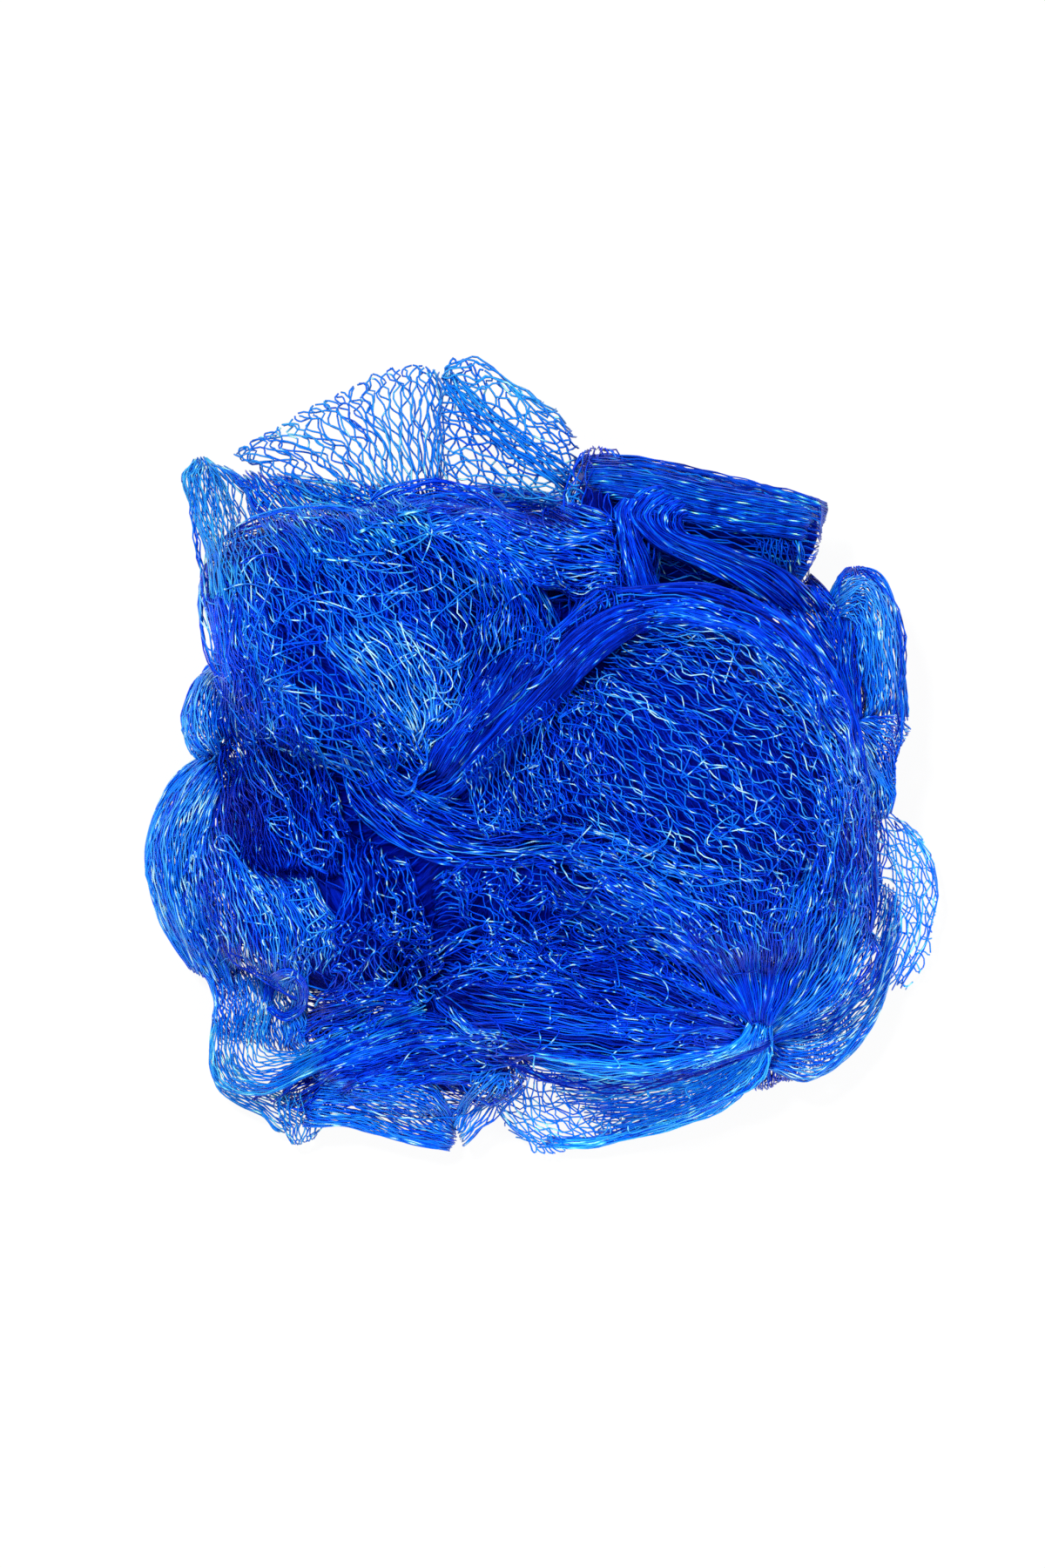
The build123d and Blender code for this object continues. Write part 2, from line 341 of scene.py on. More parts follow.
class EdgeKind(Enum):
    """How the strands end at the far edge of a layer."""

    BURIED = "buried"
    LOOPED = "looped"


class Bench:
    """Makes and links the nodes of one tree."""

    def __init__(self, tree: bpy.types.NodeTree) -> None:
        """Takes the tree to work on."""
        self.nodes, self.links = tree.nodes, tree.links

    def feed(self, node: bpy.types.Node, inputs: dict[str | int, object]) -> None:
        """Gives a node's inputs their values or links.

        Args:
            node: The node.
            inputs: What goes into each input: another node's output, or a value.
        """
        for socket, value in inputs.items():
            if isinstance(value, bpy.types.NodeSocket):
                self.links.new(value, node.inputs[socket])
            else:
                node.inputs[socket].default_value = value

    def add(self, kind: str, inputs: dict[str | int, object] | None = None,
            **settings: object) -> bpy.types.Node:
        """Makes a shader node.

        Args:
            kind: Its type, without the word that all shader nodes' types begin with.
            inputs: What goes into its inputs, as in feed.
            **settings: Its properties.

        Returns:
            The node.
        """
        node = self.nodes.new(f"ShaderNode{kind}")
        for setting, value in settings.items():
            setattr(node, setting, value)
        self.feed(node, inputs or {})
        return node

    def maths(self, operation: str, *terms: object) -> bpy.types.NodeSocket:
        """The result of a sum on outputs and values."""
        return self.add("Math", dict(enumerate(terms)), operation=operation).outputs[0]


@dataclass(frozen=True)
class Finish:
    """The looks of one material.

    Attributes:
        name: The material's name.
    """

    name: str

    def material(self) -> bpy.types.Material:
        """The material, which is made only once."""
        found = bpy.data.materials.get(self.name)
        if found:
            return found
        material = bpy.data.materials.new(self.name)
        material.use_nodes = True
        self.dress(Bench(material.node_tree))
        return material

    def dress(self, bench: Bench) -> None:
        """Lays out the material's nodes."""
        raise NotImplementedError


@dataclass(frozen=True)
class FloorFinish(Finish):
    """A pale floor that the camera sees as nearly plain white.

    Attributes:
        white_share: How much of it is plain white as the camera sees it, so that only a faint shadow shows.
        grey: Its colour as the wad sees it.
        roughness: Its roughness as the wad sees it.
    """

    white_share: float = 0.93
    grey: float = 0.9
    roughness: float = 0.8

    def dress(self, bench: Bench) -> None:
        """White light towards the camera, also by way of a reflection, and a matt surface for all else."""
        shader = bench.nodes["Principled BSDF"]
        bench.feed(shader, {"Base Color": (self.grey, self.grey, self.grey, 1), "Roughness": self.roughness})
        white = bench.add("Emission", {"Strength": 1.0})
        path = bench.add("LightPath")
        seen = bench.maths("MAXIMUM", path.outputs["Is Camera Ray"], path.outputs["Is Glossy Ray"])
        seen = bench.maths("MAXIMUM", seen, path.outputs["Is Transmission Ray"])
        share = bench.maths("MULTIPLY", seen, self.white_share)
        mix = bench.add("MixShader", {0: share, 1: shader.outputs[0], 2: white.outputs[0]})
        bench.feed(bench.nodes["Material Output"], {"Surface": mix.outputs[0]})


@dataclass(frozen=True)
class Lamp:
    """A square lamp that points at the wad.

    Attributes:
        name: The lamp's name.
        where: Its place in metres.
        size: The length of its side in metres.
        power: Its power in watts.
    """

    name: str
    where: Triple
    size: float
    power: float

    TARGET: ClassVar[Triple] = (0, 0, 0.03)

    def build(self) -> None:
        """Puts the lamp in its place and turns it to the wad."""
        data = bpy.data.lights.new(self.name, "AREA")
        data.size, data.energy = self.size, self.power
        lamp = bpy.data.objects.new(self.name, data)
        lamp.location = self.where
        lamp.rotation_mode = "QUATERNION"
        lamp.rotation_quaternion = (Vector(self.TARGET) - Vector(self.where)).to_track_quat("-Z", "Y")
        bpy.context.scene.collection.objects.link(lamp)


@dataclass
class Studio:
    """The camera straight above the wad, a pale floor and soft light.

    Attributes:
        lens: The focal length in millimetres.
        sensor: The sensor's long side in millimetres.
        focus_height: The height that the photograph's scale holds at, in metres.
        floor_half: Half of the floor's side in metres.
        daylight: The strength of the white world.
        lamps: A sharp lamp from the upper left and a wide one from the right.
    """

    lens: float = 100.0
    sensor: float = 36.0
    focus_height: float = 0.025
    floor_half: float = 3.0
    daylight: float = 0.7
    lamps: tuple[Lamp, ...] = (
        Lamp("key", (-0.22, 0.30, 1.05), 0.10, 9.0),
        Lamp("fill", (0.75, -0.35, 0.8), 0.25, 3.5),
    )

    @property
    def eye(self) -> Triple:
        """The camera's place: over the photograph's middle, as far up as shows its height at its scale."""
        tall = PHOTO_SIZE[1] / PIXELS_PER_METRE
        distance = self.lens * tall / self.sensor
        x = (PHOTO_SIZE[0] / 2 - PHOTO_MIDDLE[0]) / PIXELS_PER_METRE
        y = (PHOTO_MIDDLE[1] - PHOTO_SIZE[1] / 2) / PIXELS_PER_METRE
        return x, y, self.focus_height + distance

    def on_height(self, spots: np.ndarray, heights: np.ndarray) -> np.ndarray:
        """Where the line of sight through each point of the photograph meets a height.

        Args:
            spots: Points of the photograph in pixels.
            heights: A height for each in metres.

        Returns:
            The x and y of each in metres.
        """
        x, y, z = self.eye
        reach = ((z - heights) / (z - self.focus_height))[..., None]
        aside = (spots - np.array(PHOTO_SIZE) / 2) * (1 / PIXELS_PER_METRE, -1 / PIXELS_PER_METRE)
        return aside * reach + (x, y)

    def camera(self) -> bpy.types.Object:
        """A camera that looks straight down."""
        data = bpy.data.cameras.new("camera")
        data.lens, data.sensor_width = self.lens, self.sensor
        camera = bpy.data.objects.new("camera", data)
        camera.location = self.eye
        bpy.context.scene.collection.objects.link(camera)
        bpy.context.scene.camera = camera
        return camera

    def floor(self) -> bpy.types.Object:
        """A wide pale floor."""
        half = self.floor_half
        mesh = bpy.data.meshes.new("floor")
        corners = [(-half, -half, 0), (half, -half, 0), (half, half, 0), (-half, half, 0)]
        mesh.from_pydata(corners, [], [(0, 1, 2, 3)])
        mesh.materials.append(FloorFinish("pale_floor").material())
        floor = bpy.data.objects.new("floor", mesh)
        bpy.context.scene.collection.objects.link(floor)
        return floor

    def light(self) -> None:
        """A soft white world and the lamps."""
        world = bpy.data.worlds.new("studio")
        world.use_nodes = True
        bench = Bench(world.node_tree)
        bench.feed(bench.nodes["Background"], {"Color": (1, 1, 1, 1), "Strength": self.daylight})
        bpy.context.scene.world = world
        for lamp in self.lamps:
            lamp.build()
        bpy.context.scene.view_settings.view_transform = "Standard"


STUDIO = Studio()


@dataclass
class Terrain:
    """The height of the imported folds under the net, on a level grid.

    Attributes:
        cell: The grid's spacing in metres.
        half: Half of the grid's side in metres.
        cells: The grid's cells along a side.
        passes: How often the heights are softened.
        samples: The points taken along and round each fold.
        cap_rings: The rings of points taken over each end cap.
    """

    cell: float = 0.001
    half: float = 0.08
    cells: int = 160
    passes: int = 3
    samples: int = 260
    cap_rings: int = 60

    def __post_init__(self) -> None:
        """Starts with level ground."""
        self.heights: np.ndarray = np.zeros((self.cells, self.cells))

    def survey(self, surfaces: list[FoldSurface]) -> None:
        """Takes the highest point of the folds and their end caps over each cell, then averages neighbours.

        Args:
            surfaces: The folds that the net lies on.
        """
        u = np.linspace(0, 1, self.samples)[:, None]
        v = np.arange(self.samples)[None, :] / self.samples
        inward = np.linspace(0, 1, self.cap_rings)[:, None]
        for surface in surfaces:
            rings = surface.point(np.array([[0.0], [1.0]]), v)
            middles = rings.mean(axis=1, keepdims=True)
            caps = middles[:, :, None] + (rings - middles)[:, :, None] * inward
            points = np.concatenate((surface.point(u, v).reshape(-1, 3), caps.reshape(-1, 3)))
            under = np.clip(((points[:, :2] + self.half) / self.cell).astype(int), 0, self.cells - 1)
            np.maximum.at(self.heights, (under[:, 0], under[:, 1]), points[:, 2])
        for _ in range(self.passes):
            for axis in (0, 1):
                before, after = np.roll(self.heights, 1, axis), np.roll(self.heights, -1, axis)
                self.heights = (before + 2 * self.heights + after) / 4

    def at(self, x: np.ndarray, y: np.ndarray) -> np.ndarray:
        """The height at each place, in a straight line from cell to cell."""
        column = np.clip((x + self.half) / self.cell - 0.5, 0, self.cells - 2)
        row = np.clip((y + self.half) / self.cell - 0.5, 0, self.cells - 2)
        i, j = column.astype(int), row.astype(int)
        s, t = column - i, row - j
        near = self.heights[i, j] * (1 - s) + self.heights[i + 1, j] * s
        far = self.heights[i, j + 1] * (1 - s) + self.heights[i + 1, j + 1] * s
        return near * (1 - t) + far * t


TERRAIN = Terrain()


@dataclass
class DrapedPatch:
    """A stretch of net traced from above and laid over the folds.

    Attributes:
        guides: Lines that run with the strands, side by side, each as points of the photograph in pixels.
        corners: Its height in millimetres where nothing lifts it: at the first guide's start and end,
            and at the last guide's start and end.
        lift: How far it lies over the folds, in metres.
        bulge: How far its middle stands up by itself, in metres.
        wobble: How far its strands wave aside, in pixels.
        seed: Its own waves.
    """

    guides: Guides
    corners: tuple[float, ...]
    lift: float
    bulge: float
    wobble: float
    seed: int

    WOBBLE_FINEST: ClassVar[int] = 4
    WOBBLE_SHIFT: ClassVar[float] = 0.37
    CRUMPLE_HEIGHT: ClassVar[float] = 0.0008
    BLEND: ClassVar[float] = 0.0015
    SIGHT_PASSES: ClassVar[int] = 2

    def traced(self, u: np.ndarray, v: np.ndarray) -> np.ndarray:
        """The photograph's point: first along each guide, then across the guides.

        Args:
            u: Along the strands, 0 to 1.
            v: Across them, 0 to 1.

        Returns:
            Points in pixels.
        """
        count = len(self.guides)
        flat_u, flat_v = u.ravel(), v.ravel()
        lines = np.stack([smooth_through(np.array(guide, float), flat_u) for guide in self.guides])
        scaled = np.clip(flat_v, 0, 1) * (count - 1)
        left = np.minimum(scaled.astype(int), count - 2)
        t = (scaled - left)[:, None]
        each = np.arange(len(flat_v))
        before, after = lines[np.maximum(left - 1, 0), each], lines[np.minimum(left + 2, count - 1), each]
        return spline(before, lines[left, each], lines[left + 1, each], after, t).reshape(*u.shape, 2)

    def point(self, u: np.ndarray, v: np.ndarray, inset: float = 0.0) -> np.ndarray:
        """The traced point, brought down its line of sight to the greater of its own and the folds' height.

        Args:
            u: Along the strands, 0 to 1.
            v: Across them, 0 to 1.
            inset: How far below its place it lies, in metres.

        Returns:
            Points in the row frame.
        """
        u, v = np.broadcast_arrays(u, v)
        waves = Crumple(self.seed, self.wobble, finest=self.WOBBLE_FINEST)
        aside = waves.at(u, v, turns=False), waves.at(v, u + self.WOBBLE_SHIFT, turns=False)
        spot = self.traced(u, v) + np.stack(aside, axis=-1)
        first = self.corners[0] + (self.corners[1] - self.corners[0]) * u
        last = self.corners[2] + (self.corners[3] - self.corners[2]) * u
        own = MILLIMETRE * (first + (last - first) * v)
        own = own + self.bulge * np.sin(math.pi * np.clip(u, 0, 1)) * np.sin(math.pi * np.clip(v, 0, 1))
        crumple = self.CRUMPLE_HEIGHT * WaveSet.BUMPS.at(self.seed, u, v)
        height = own
        for _ in range(self.SIGHT_PASSES):
            level = STUDIO.on_height(spot, height)
            folds = TERRAIN.at(level[..., 0], level[..., 1]) + self.lift
            height = 0.5 * (own + folds + np.sqrt((own - folds) ** 2 + self.BLEND**2))
        height = height + crumple
        return np.concatenate((STUDIO.on_height(spot, height), (height - inset)[..., None]), axis=-1)


Surface = FoldSurface | RopeSurface | DrapedPatch
Strands = tuple[np.ndarray, np.ndarray, np.ndarray]


def stood_off(surface: Surface, u: np.ndarray, v: np.ndarray, inset: float, off: np.ndarray,
              sunk: np.ndarray | float = 0.0) -> tuple[np.ndarray, np.ndarray]:
    """Points that stand off a surface, kept over the floor.

    Args:
        surface: The surface.
        u: Each point's place along it.
        v: Each point's place across it.
        inset: How far inside the surface they start, in metres.
        off: How far each stands off, in metres.
        sunk: How far each then sinks straight down, in metres.

    Returns:
        The points, and the direction away from the surface at each.
    """
    points = surface.point(u, v, inset)
    outward = unit(points - surface.point(u, v, inset + MILLIMETRE))
    points = points + outward * off[..., None]
    points[..., 2] = np.maximum(points[..., 2] - sunk, FILAMENT_RADIUS + FLOOR_GAP)
    return points, outward


@dataclass(frozen=True)
class Habit:
    """How the filaments of this net depart from an even one, and where highlights are painted on them.

    Attributes:
        knot: How far the swing is pressed flat at the knots, where neighbours touch.
        wander: How far slow waves carry a strand aside, in pitches.
        wander_rate: How fast those waves run along and across.
        openness: How unevenly the diamonds open.
        drift: The least and most waves of a strand's own wander.
        own_wander: How far that one carries it, in pitches.
        stretch: How far a strand's diamonds slip along it, in rows.
        stray_turns: How much faster the stray runs across than along.
        own_stray: A strand's own stray, of the lift.
        flicker: How far the shade varies along a strand, of the spread between strands.
        glint_rate: How fast the fields of painted highlights run along and across.
        glint_slant: How far those fields slant.
        glint_area: The share of the net in fields of painted highlights, of the sheen.
        glint_edge: Over how much of the waves' height a field's edge fades.
        strand_glint: The range of a whole strand's share in a field, where the strands don't lean.
        lone: The share of lone painted highlights, without sheen and for each part of it.
        lone_glint: The range of their strength.
        own_glint: The range of a strand's strength.
        point_glint: The range of a point's strength.
        broken: The share of each glint that stays dark.
        most: The greatest gain.
    """

    knot: float = 1.25
    wander: float = 0.5
    wander_rate: float = 2
    openness: float = 0.35
    drift: tuple[float, float] = (0.5, 2.4)
    own_wander: float = 0.32
    stretch: float = 0.1
    stray_turns: float = 3.7
    own_stray: float = 0.5
    flicker: float = 0.35
    glint_rate: float = 1.3
    glint_slant: float = 0.2
    glint_area: float = 4
    glint_edge: float = 0.25
    strand_glint: tuple[float, float] = (-0.7, 1.2)
    lone: tuple[float, float] = (0.01, 0.35)
    lone_glint: tuple[float, float] = (0.4, 1.2)
    own_glint: tuple[float, float] = (0.4, 1.1)
    point_glint: tuple[float, float] = (0.3, 1.3)
    broken: float = 0.4
    most: float = 1.15


HABIT = Habit()


@dataclass
class NetLayer:
    """One layer of net over a surface.

    Attributes:
        strands: Filaments side by side.
        rows: Diamonds along each filament.
        inset: How far it lies inside the surface, in metres.
        start_turn: Where it begins across the surface, in v.
        end_turn: Where it ends across the surface, in v.
        tone: The middle of its strands' shades, 0 deep to 1 azure, set as painted light and shade.
        seed: The layer's own random draws.
        steps: Points on each half diamond.
        edge: How the far edge ends.
        open_share: How far the diamonds open, of the pitch.
        lift: How far single strands stray from the surface, in metres.
        spread: How far single strands' shades stray from it.
        painted_glint_share: The share of its length painted with highlights.
        leans: Whether painted highlights fall on half diamonds that lean one way, and not on whole strands.
        bury: How far its ends and sides sink into the wad, in metres.
        ragged: How unevenly its strands begin and end, of their length.
    """

    strands: int
    rows: int
    inset: float
    start_turn: float
    end_turn: float
    tone: float
    seed: int
    steps: int = 2
    edge: EdgeKind = EdgeKind.BURIED
    open_share: float = 0.46
    lift: float = 0.0003
    spread: float = SHADE_SPREAD
    painted_glint_share: float = 0.05
    leans: bool = True
    bury: float = 0.0
    ragged: float = 0.0

    SIDE_EASE: ClassVar[float] = 0.07
    END_EASE: ClassVar[float] = 0.1

    @property
    def looped(self) -> bool:
        """Whether the far edge is a row of loops."""
        return self.edge is EdgeKind.LOOPED

    @property
    def strand(self) -> np.ndarray:
        """The strands' numbers, one to a row."""
        return np.arange(self.strands)[:, None]

    @property
    def side(self) -> np.ndarray:
        """The way that each strand swings first, 1 or -1."""
        return np.where(self.strand % 2 == 0, 1.0, -1.0)

    def sunk(self, u: np.ndarray, across: np.ndarray) -> np.ndarray:
        """How far each point sinks: all of the bury at an end or side, easing to none a little way in."""
        side = np.minimum(across, 1 - across) / self.SIDE_EASE
        ends = (u if self.looped else np.minimum(u, 1 - u)) / self.END_EASE
        ease = np.clip(np.minimum(side, ends), 0, 1)
        return self.bury * (1 - ease * ease * (3 - 2 * ease))

    def swing(self, along: np.ndarray) -> np.ndarray:
        """How far aside a strand swings at each place, -1 to 1, with a half round at a looped edge."""
        swing = np.clip(HABIT.knot * np.cos(FULL_TURN * self.rows * along), -1, 1)
        if not self.looped:
            return swing
        tip = np.clip(along * 2 * self.rows - (2 * self.rows - 1), 0, 1)
        return np.where(tip > 0, 2 * np.sqrt(np.maximum(1 - tip**2, 0)) - 1, swing)

    def strand_lines(self, surface: Surface) -> Strands:
        """The centre lines: v swings half a pitch each way, against the next strand, once a diamond.

        Args:
            surface: What the layer lies on.

        Returns:
            Points of shape strands, samples, 3, a direction away from the surface and a shade at each, which
            holds painted light, shade and highlights.
        """
        rng = np.random.default_rng(self.seed)
        each = self.strands, 1
        samples = 2 * self.rows * self.steps + 1
        along = np.linspace(0, 1, samples)
        row, share = along[None, :], self.strand / self.strands
        wander = HABIT.wander * WaveSet.WANDER.at(self.seed, row * HABIT.wander_rate, share * HABIT.wander_rate)
        openness = 1 + HABIT.openness * WaveSet.OPENNESS.at(self.seed, row, share)
        drift = rng.uniform(*HABIT.drift, each) * row + rng.uniform(0, 1, each)
        wander = wander + rng.normal(0, HABIT.own_wander, each) * np.sin(FULL_TURN * drift)
        swing = self.open_share * openness * self.side * self.swing(along)[None, :]
        across = (self.strand + 0.5 + swing + wander) / self.strands
        v = self.start_turn + (self.end_turn - self.start_turn) * across
        stretch = rng.normal(0, HABIT.stretch, each) / self.rows
        u = np.clip(row + stretch * np.sin(math.pi * along), 0, 1)
        sunk = self.sunk(u, across)
        first = self.ragged * rng.uniform(0, 1, each)
        last = 1 - (0.0 if self.looped else self.ragged) * rng.uniform(0, 1, each)
        u = first + (last - first) * u
        stray = WaveSet.STRAY.at(self.seed, u, v * HABIT.stray_turns)
        stray = self.lift * (stray + rng.normal(0, HABIT.own_stray, each))
        points, outward = stood_off(surface, u, v, self.inset, stray, sunk)
        # The shade: the layer's tone, which is painted light and shade, random spread per strand and along it,
        # and painted highlights.
        shade = self.tone + rng.normal(0, self.spread, each)
        shade = shade + rng.normal(0, HABIT.flicker * self.spread, (self.strands, samples))
        return points, outward, shade + self.painted_glints(along, rng)

    def painted_glints(self, along: np.ndarray, rng: np.random.Generator) -> np.ndarray:
        """Painted highlights: bright stretches in fields of slow waves, on half diamonds that lean one way, or
        on some whole strands.

        Args:
            along: The samples' places along a strand.
            rng: The layer's draws.

        Returns:
            The painted highlight that each sample's shade gains: the field's height over its threshold, times
            the lean of the strand there, or times its draw where the layer's strands don't lean.
        """
        row, share = along[None, :], self.strand / self.strands
        slant = share * HABIT.glint_rate + HABIT.glint_slant * row
        slow = WaveSet.GLINT.at(self.seed, row * HABIT.glint_rate, slant)
        threshold = np.quantile(slow, 1 - min(HABIT.glint_area * self.painted_glint_share, 1.0))
        field_height = np.clip((slow - threshold) / HABIT.glint_edge, 0, 1)
        if self.leans:
            lean = np.clip(-self.side * np.sin(FULL_TURN * self.rows * along)[None, :], 0, 1)
        else:
            lean = np.clip(rng.uniform(*HABIT.strand_glint, (self.strands, 1)), 0, 1)
        shape = self.strands, len(along)
        lone_share = HABIT.lone[0] + HABIT.lone[1] * self.painted_glint_share
        lone = (rng.uniform(0, 1, shape) < lone_share) * rng.uniform(*HABIT.lone_glint, shape)
        own = rng.uniform(*HABIT.own_glint, (self.strands, 1)) * rng.uniform(*HABIT.point_glint, shape)
        own = own * (rng.uniform(0, 1, shape) > HABIT.broken)
        return PAINTED_GLINT_STEP * np.clip(field_height * lean * own + lone, 0, HABIT.most)


@dataclass
class Strays:
    """Loose strands over a surface, each a hook or an open loop.

    Attributes:
        strands: How many.
        tone: The middle of their shades, set as painted light and shade.
        seed: Their own random draws.
        reach: The most of the surface that one spans.
        lift: How far they stand off, in metres.
        painted_glint_share: The share of their length painted with highlights.
    """

    strands: int
    tone: float
    seed: int
    reach: float = 0.16
    lift: float = 0.0012
    painted_glint_share: float = 0.1

    SAMPLES: ClassVar[int] = 17
    MARGIN: ClassVar[tuple[float, float]] = (0.05, 0.95)
    REACHES: ClassVar[tuple[float, float]] = (0.35, 1)
    BENDS: ClassVar[tuple[float, float]] = (0.3, 1.7)
    PHASES: ClassVar[tuple[float, float]] = (0, 6)
    SWING_ALONG: ClassVar[float] = 0.45
    SWING_ACROSS: ClassVar[float] = 0.7
    ACROSS_RATE: ClassVar[float] = 1.3
    ARCHES: ClassVar[tuple[float, float]] = (0.2, 1.4)
    ARCH_FOOT: ClassVar[float] = 0.35
    BRIGHTER: ClassVar[float] = 0.05

    def strand_lines(self, surface: Surface) -> Strands:
        """Strands that swing both ways as they run along, so that some turn back into hooks and loops.

        Args:
            surface: What the strands lie on.

        Returns:
            Points of shape strands, samples, 3, a direction away from the surface and a shade at each, which
            holds painted light, shade and highlights.
        """
        rng = np.random.default_rng(self.seed)
        each = self.strands, 1
        t = np.linspace(0, 1, self.SAMPLES)[None, :]
        reach = self.reach * rng.uniform(*self.REACHES, each)
        bend = rng.uniform(*self.BENDS, each)
        u = rng.uniform(*self.MARGIN, each) + reach * (t - 0.5) * rng.choice((-1, 1), each)
        u = u + self.SWING_ALONG * reach * np.sin(math.pi * bend * t + rng.uniform(*self.PHASES, each))
        v = rng.uniform(*self.MARGIN, each)
        turn = math.pi * bend * t * self.ACROSS_RATE + rng.uniform(*self.PHASES, each)
        v = v + self.SWING_ACROSS * reach * np.sin(turn)
        arch = np.sin(math.pi * t) * rng.uniform(*self.ARCHES, each) - self.ARCH_FOOT
        points, outward = stood_off(surface, np.clip(u, 0, 1), np.clip(v, 0, 1), 0.0, self.lift * arch)
        # Shade: the tone, which is painted light and shade, random spread, and painted highlights at random
        # points.
        shade = self.tone + rng.normal(self.BRIGHTER, SHADE_SPREAD, each) + np.zeros(u.shape)
        return points, outward, shade + PAINTED_GLINT_STEP * (rng.uniform(0, 1, u.shape) < self.painted_glint_share)


class MeshMaker:
    """Collects tubes and skins as arrays, and makes one mesh object of them."""

    def __init__(self, name: str) -> None:
        """Starts an empty mesh with the piece's name."""
        self.name = name
        self.points: list[np.ndarray] = []
        self.tones: list[np.ndarray] = []
        self.flows: list[np.ndarray] = []
        self.quads: list[np.ndarray] = []
        self.triangles: list[np.ndarray] = []
        self.quad_slots: list[np.ndarray] = []
        self.triangle_slots: list[np.ndarray] = []
        self.count = 0

    def store(self, points: np.ndarray, tones: np.ndarray, flows: np.ndarray, quads: np.ndarray,
              triangles: np.ndarray, slot: int) -> None:
        """Keeps one stretch of mesh.

        Args:
            points: Its corners.
            tones: A shade for each.
            flows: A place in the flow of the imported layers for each.
            quads: Its faces of four corners.
            triangles: Its faces of three corners.
            slot: The material slot of all its faces.
        """
        self.points.append(points)
        self.tones.append(tones)
        self.flows.append(flows)
        self.quads.append(quads)
        self.quad_slots.append(np.full(len(quads), slot))
        self.triangles.append(triangles)
        self.triangle_slots.append(np.full(len(triangles), slot))
        self.count += len(points)

    def add_tubes(self, lines: np.ndarray, outward: np.ndarray, radius: float, tone: np.ndarray,
                  sides: int = 3) -> None:
        """Adds a tube along each line: at each point a ring square to it, its first corner turned outward.

        Args:
            lines: Points of shape strands, samples, 3.
            outward: A direction at each point that isn't along the line.
            radius: The filament's radius in metres.
            tone: A shade for each point of each strand.
            sides: Corners of each ring.
        """
        strands, samples, _ = lines.shape
        along = unit(np.gradient(lines, axis=1))
        aside = unit(np.cross(along, outward))
        up = np.cross(aside, along)
        turn = FULL_TURN * np.arange(sides) / sides
        ring = up[:, :, None, :] * np.cos(turn)[:, None] - aside[:, :, None, :] * np.sin(turn)[:, None]
        points = (lines[:, :, None, :] + radius * ring).reshape(-1, 3)
        index = self.count + np.arange(strands * samples * sides).reshape(strands, samples, sides)
        here, there = index[:, :-1], index[:, 1:]
        around = np.roll(index, -1, axis=2)
        quads = np.stack((here, there, around[:, 1:], around[:, :-1]), axis=-1).reshape(-1, 4)
        caps = np.concatenate((index[:, 0, :3], index[:, -1, :3][:, ::-1]))
        self.store(points, np.repeat(tone.ravel(), sides), np.zeros((len(points), 3)), quads, caps, 0)

    def add_skin(self, grid: np.ndarray, tone: float, slot: int) -> None:
        """Adds a closed skin over a grid whose second axis runs round it, with a point to close each end.

        The faces are turned about where the volume inside them comes out below zero.

        Args:
            grid: Points of shape along, round, 3, without a repeated column.
            tone: The shade of the skin.
            slot: The material slot of its faces.
        """
        rows, columns, _ = grid.shape
        index = self.count + np.arange(rows * columns).reshape(rows, columns)
        around = np.roll(index, -1, axis=1)
        quads = np.stack((index[:-1], around[:-1], around[1:], index[1:]), axis=-1).reshape(-1, 4)
        poles = np.stack((grid[0].mean(0), grid[-1].mean(0)))
        start, end = self.count + rows * columns, self.count + rows * columns + 1
        near = np.stack((around[0], index[0], np.full(columns, start)), axis=-1)
        far = np.stack((index[-1], around[-1], np.full(columns, end)), axis=-1)
        points = np.concatenate((grid.reshape(-1, 3), poles))
        one, two, three = (points[quads[:, corner] - self.count] for corner in range(3))
        if np.einsum("ij,ij->i", one, np.cross(two, three)).sum() < 0:
            quads, near, far = quads[:, ::-1], near[:, ::-1], far[:, ::-1]
        turns = FULL_TURN * np.arange(columns) / columns
        u, turn = np.meshgrid(np.linspace(0, 1, rows), turns, indexing="ij")
        flow = np.stack((u, np.cos(turn), np.sin(turn)), axis=-1).reshape(-1, 3)
        flow = np.concatenate((flow, [(0, 0, 0), (1, 0, 0)]))
        self.store(points, np.full(len(points), tone), flow, quads, np.concatenate((near, far)), slot)

    def area_of_last(self) -> float:
        """The area of the faces that were added last: half of the corner product of each one's triangles."""
        points = np.concatenate(self.points)
        quads = self.quads[-1]
        corners = np.concatenate((quads[:, :3], quads[:, [0, 2, 3]], self.triangles[-1]))
        sides = points[corners[:, 1]] - points[corners[:, 0]], points[corners[:, 2]] - points[corners[:, 0]]
        return float(np.linalg.norm(np.cross(*sides), axis=1).sum() / 2)

    def make(self, materials: list[bpy.types.Material]) -> bpy.types.Object:
        """The finished object at the origin, with its material slots and a shade for each point, painted light
        and shade included.
        """
        mesh = bpy.data.meshes.new(self.name)
        points = np.concatenate(self.points)
        quads, triangles = np.concatenate(self.quads), np.concatenate(self.triangles)
        corners = np.concatenate((quads.ravel(), triangles.ravel()))
        starts = np.concatenate((np.arange(len(quads)) * 4, len(quads) * 4 + np.arange(len(triangles)) * 3))
        slots = np.concatenate(self.quad_slots + self.triangle_slots)
        mesh.vertices.add(len(points))
        mesh.vertices.foreach_set("co", points.astype(np.float32).ravel())
        mesh.loops.add(len(corners))
        mesh.loops.foreach_set("vertex_index", corners.astype(np.int32))
        mesh.polygons.add(len(starts))
        mesh.polygons.foreach_set("loop_start", starts.astype(np.int32))
        mesh.polygons.foreach_set("material_index", slots.astype(np.int32))
        mesh.polygons.foreach_set("use_smooth", np.ones(len(starts), bool))
